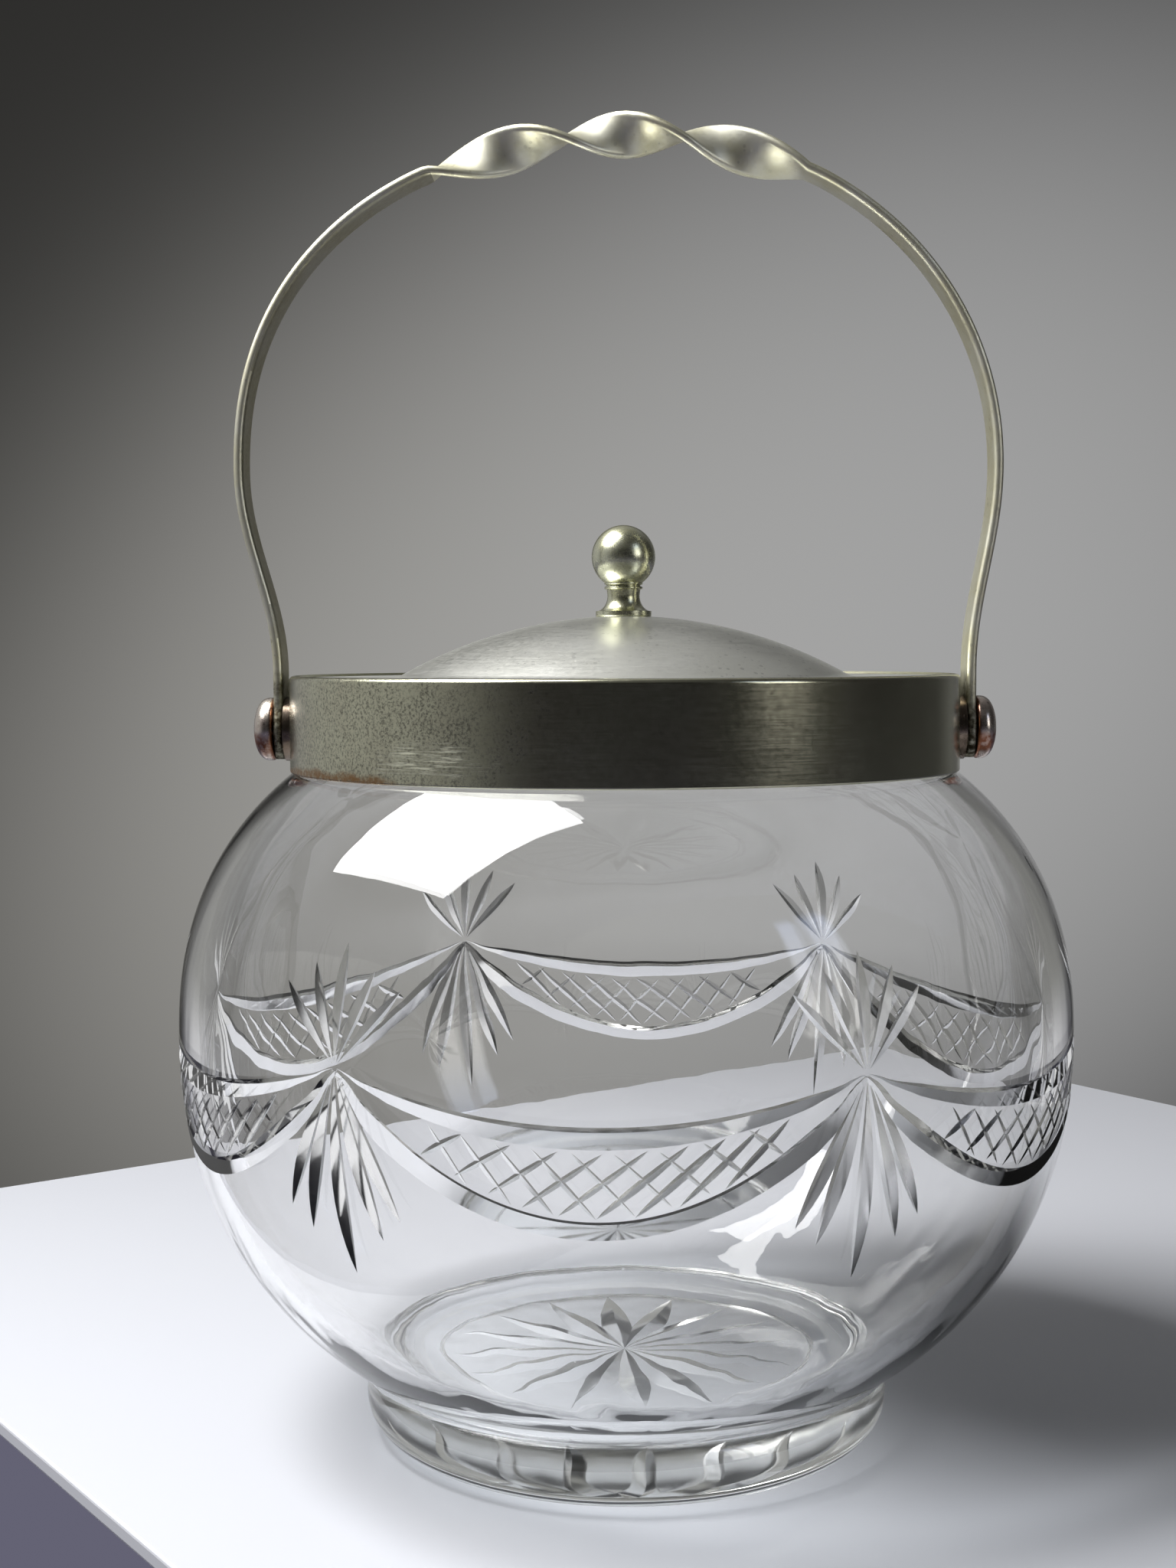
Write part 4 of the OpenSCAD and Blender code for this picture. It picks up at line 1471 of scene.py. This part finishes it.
@dataclass
class HiddenFittings:
    """The bedding, washers, stud and nut that show only here and there: the frame's own solids, dressed."""

    def build(self) -> None:
        """Gives each solid its finish."""
        plaster = Plaster().mixed()
        washer = Plate("washer metal", (0.46, 0.44, 0.39), (0.30, 0.27, 0.22), rough=(0.25, 0.4)).mixed()
        # the spacers are near-black: painted shade between the collar and the handle's eyes
        spacer = Plate("spacer metal", (0.24, 0.19, 0.15), (0.09, 0.065, 0.045), rough=(0.2, 0.3), cloud=0.3).mixed()
        copper = Plate("copper", (0.72, 0.40, 0.26), (0.42, 0.22, 0.14), rough=(0.3, 0.5), cloud=0.3).mixed()
        finishes = {
            "plaster_bed": plaster, "spacer_left": spacer, "spacer_right": spacer, "burr_left": copper,
            "burr_right": copper, "knob_stud": washer, "knob_washer": washer, "knob_nut": copper,
        }
        for node, finish in finishes.items():
            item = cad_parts[node]
            if not item.material_slots:
                item.data.materials.append(finish)
            for holder in item.material_slots:
                holder.material = finish
            log.info("%s: dressed in %s", node, finish.name)


# ---------------------------------------------------------------- the studio


@dataclass(frozen=True)
class Lamp:
    """A soft rectangular lamp: its name, place, width and height, and its light in watts.

    Where sheen is true it shows in metal and glass alone, and elsewhere it lights matt surfaces alone.
    """

    name: str
    at: Triple
    size: Pair
    power: float
    sheen: bool


@dataclass
class Studio:
    """A white table before a grey backdrop, a soft lamp high on the left and the camera."""

    eye: Triple = (0.0, -0.3642, 0.1365)
    pitch: float = -3.666
    yaw: float = -0.997
    roll: float = -0.220
    focal: float = 2715.0  # the focal length in pixels
    pixels: float = 2048.0  # the view's height, in the same pixels
    sensor: float = 36.0
    table_corner: Pair = (0.0957, 0.3467)  # metres
    table_turn: float = 36.5
    table_size: Triple = (0.375, 0.70, 0.003)
    table_edge: float = 0.0006
    table_white: Colour = (0.83, 0.845, 0.90)
    table_rough: float = 0.32
    # azimuths, each with the light's strength there
    walls: tuple[Pair, ...] = (
        (-180, 0.36), (-140, 0.38), (-107, 0.44), (-80, 0.40), (-63, 0.30), (-54, 0.22), (-46, 0.13), (-37, 0.06),
        (-25, 0.030), (15, 0.020), (36, 0.024), (70, 0.05), (90, 0.03), (130, 0.05), (160, 0.22), (180, 0.36),
    )
    ceiling: tuple[Pair, ...] = (
        (-180, 0.40), (-100, 0.56), (-50, 0.32), (0, 0.09), (60, 0.05), (120, 0.12), (180, 0.34),
    )
    falloff: tuple[tuple[float, str], ...] = ((2.6, "u"), (-1.92, "v"), (12.3, "uv"), (-15.3, "uu"), (-23.0, "vv"))
    wall_middle: float = 1.84
    wall_light: Pair = (0.505, 0.215)
    wall_power: float = 2.4
    panes: tuple[Pair, ...] = ((45.0, 51.0), (53.2, 61.5))
    pane_rise: Pair = (3.0, 38.0)
    surround: Colour = (0.26, 0.26, 0.245)
    ground: Colour = (0.127, 0.124, 0.174)
    glow: Colour = (0.88, 0.885, 0.90)
    ambient: float = 0.38
    lamps: tuple[Lamp, ...] = (
        Lamp("softbox", (-0.326, -0.021, 0.62), (0.437, 0.390), 7.1, sheen=True),
        Lamp("key", (-0.326, -0.11, 0.62), (0.30, 0.27), 6.1, sheen=False),
    )
    lamp_aim: Triple = (0.0, 0.0, 0.08)
    lamp_turn: float = 110.6
    daylight: tuple[Colour, Colour] = ((3.4, 3.35, 3.25), (1.5, 1.75, 2.4))

    def camera(self) -> None:
        """Sets the camera up at eye level with the collar."""
        yaw, pitch, roll = (math.radians(a) for a in (self.yaw, self.pitch, self.roll))
        ahead = Vector((math.sin(yaw) * math.cos(pitch), math.cos(yaw) * math.cos(pitch), math.sin(pitch)))
        right = Vector((math.cos(yaw), -math.sin(yaw), 0.0))
        down = ahead.cross(right)
        right, down = right * math.cos(roll) - down * math.sin(roll), right * math.sin(roll) + down * math.cos(roll)
        data = bpy.data.cameras.new("camera")
        data.sensor_width = self.sensor
        data.lens = self.focal / self.pixels * self.sensor
        data.clip_start, data.clip_end = 0.01, 20.0
        item = placed("camera", data)
        columns = Matrix((right, -down, -ahead)).transposed().to_4x4()
        item.matrix_world = Matrix.Translation(self.eye) @ columns
        bpy.context.scene.camera = item

    def table(self) -> None:
        """Lays the white table top under the jar."""
        wide, long, thick = self.table_size
        top = bmesh.new()
        bmesh.ops.create_cube(top, size=1.0)
        bmesh.ops.scale(top, vec=(wide, long, thick), verts=top.verts)
        bmesh.ops.bevel(
            top, geom=top.edges, offset=self.table_edge, offset_type="OFFSET", affect="EDGES", segments=3, profile=0.5,
            material=-1,
        )
        bmesh.ops.translate(top, vec=(-wide / 2, -long / 2, -thick / 2), verts=top.verts)
        turn = Matrix.Rotation(math.radians(self.table_turn), 4, "Z")
        bmesh.ops.transform(top, matrix=Matrix.Translation((*self.table_corner, 0.0)) @ turn, verts=top.verts)
        bmesh.ops.recalc_face_normals(top, faces=top.faces)
        mesh = bpy.data.meshes.new("table_top")
        top.to_mesh(mesh)
        top.free()
        item = placed("table_top", mesh)
        r = Recipe(bpy.data.materials.new("white table"))
        white = {"Base Color": (*self.table_white, 1.0), "Roughness": self.table_rough, "IOR": 1.45}
        mesh.materials.append(r.surface(white))

    def backdrop(self, r: Recipe, axes: Sequence[Socket]) -> tuple[Feed, Feed]:
        """The wall behind the jar, bright on the right and falling off to the upper left.

        Args:
            r: The world's recipe.
            axes: The three parts of the direction looked in.

        Returns:
            The wall's brightness, and 1 where the direction meets it.
        """
        deep = r.calc("MAXIMUM", axes[1], 0.05)
        spot = {"u": r.calc("DIVIDE", axes[0], deep), "v": r.calc("DIVIDE", axes[2], deep)}
        total: Feed = self.wall_middle
        for share, parts in self.falloff:
            term: Feed = share
            for part in parts:
                term = r.times(term, spot[part])
            total = r.calc("ADD", total, term)
        curve = r.calc("DIVIDE", 1.0, r.calc("ADD", 1.0, r.calc("EXPONENT", r.times(total, -1.0))))
        level = r.calc("POWER", r.calc("MULTIPLY_ADD", curve, *self.wall_light), self.wall_power)
        meets = r.times(r.inside(spot["u"], -0.55, 0.55, 0.2), r.grade(spot["v"], 0.4, 0.8, 1.0, 0.0))
        meets = r.times(meets, r.grade(spot["v"], -0.35, -0.31))
        return level, r.times(meets, r.grade(axes[1], 0.3, 0.5))

    def room(self) -> None:
        """Paints the room: the backdrop, a light wall on the left, a window on the right and the dark front."""
        world = bpy.data.worlds.new("room")
        bpy.context.scene.world = world
        r = Recipe(world)
        path = r.add("ShaderNodeLightPath").outputs
        way = r.add("ShaderNodeTexCoord").outputs["Generated"]
        axes = r.axes(way)
        turn = r.azimuth(axes)
        rise = r.calc("DEGREES", r.calc("ARCSINE", axes[2]))
        walls = r.ramp(turn, -180.0, 180.0, self.walls)
        high = r.mix(r.grade(rise, 22.0, 55.0), walls, r.ramp(turn, -180.0, 180.0, self.ceiling))
        seen = r.calc("MAXIMUM", path["Is Camera Ray"], path["Is Transmission Ray"])
        high = r.mix(seen, high, self.surround)
        below = r.mix(path["Is Transmission Ray"], self.ground, self.glow)
        room = r.mix(r.grade(rise, -14.0, -4.0, 1.0, 0.0), high, below)
        level, meets = self.backdrop(r, axes)
        shade = r.mix(r.grade(axes[0], -0.3, 0.2), (1.02, 1.0, 0.94), (1.0, 1.0, 1.0))
        wall = r.add("ShaderNodeVectorMath", {0: shade, "Scale": level}, operation="SCALE").outputs[0]
        light = r.mix(meets, room, wall)
        for start, end in self.panes:
            pane = r.times(r.inside(turn, start, end, 0.8), r.inside(rise, *self.pane_rise, 1.2))
            pane = r.times(pane, r.calc("SUBTRACT", 1.0, path["Is Camera Ray"]))
            glow = r.mix(r.grade(rise, 10.0, self.pane_rise[1]), *self.daylight)
            light = r.mix(pane, light, glow)
        direct = r.calc("MAXIMUM", seen, path["Is Glossy Ray"])
        strength = r.calc("MULTIPLY_ADD", direct, 1 - self.ambient, self.ambient)
        r.add("ShaderNodeOutputWorld", {"Surface": r.add("ShaderNodeBackground", {0: light, 1: strength}).outputs[0]})

    def hang(self, lamp: Lamp) -> None:
        """Hangs a lamp, aimed at the jar.

        Args:
            lamp: The lamp.
        """
        data = bpy.data.lights.new(lamp.name, "AREA")
        data.shape, data.size, data.size_y, data.energy = "RECTANGLE", *lamp.size, lamp.power
        item = placed(lamp.name, data)
        look = (Vector(self.lamp_aim) - Vector(lamp.at)).to_track_quat("-Z", "Y").to_matrix().to_4x4()
        item.matrix_world = Matrix.Translation(lamp.at) @ look @ Matrix.Rotation(math.radians(self.lamp_turn), 4, "Z")
        item.visible_camera = False
        item.visible_diffuse = not lamp.sheen
        item.visible_glossy = item.visible_transmission = lamp.sheen

    def build(self) -> None:
        """Sets up everything round the jar."""
        self.camera()
        self.table()
        self.room()
        for lamp in self.lamps:
            self.hang(lamp)


def main() -> None:
    """Builds the jar piece by piece and the studio round it."""
    logging.basicConfig(level=logging.INFO, format="%(name)s: %(message)s")
    bpy.context.scene.view_settings.view_transform = "Standard"
    Studio().build()
    CutGlassJar().build()
    NeckBand().build()
    rivet_plate = DomedRivet.finish.mixed()
    for side in Side:
        DomedRivet(side).build(rivet_plate)
    SwingHandle().build()
    lid = DomedLid()
    lid.build()
    BallKnob(lid.seat_z).build()
    HiddenFittings().build()


if __name__ == "__main__":
    main()
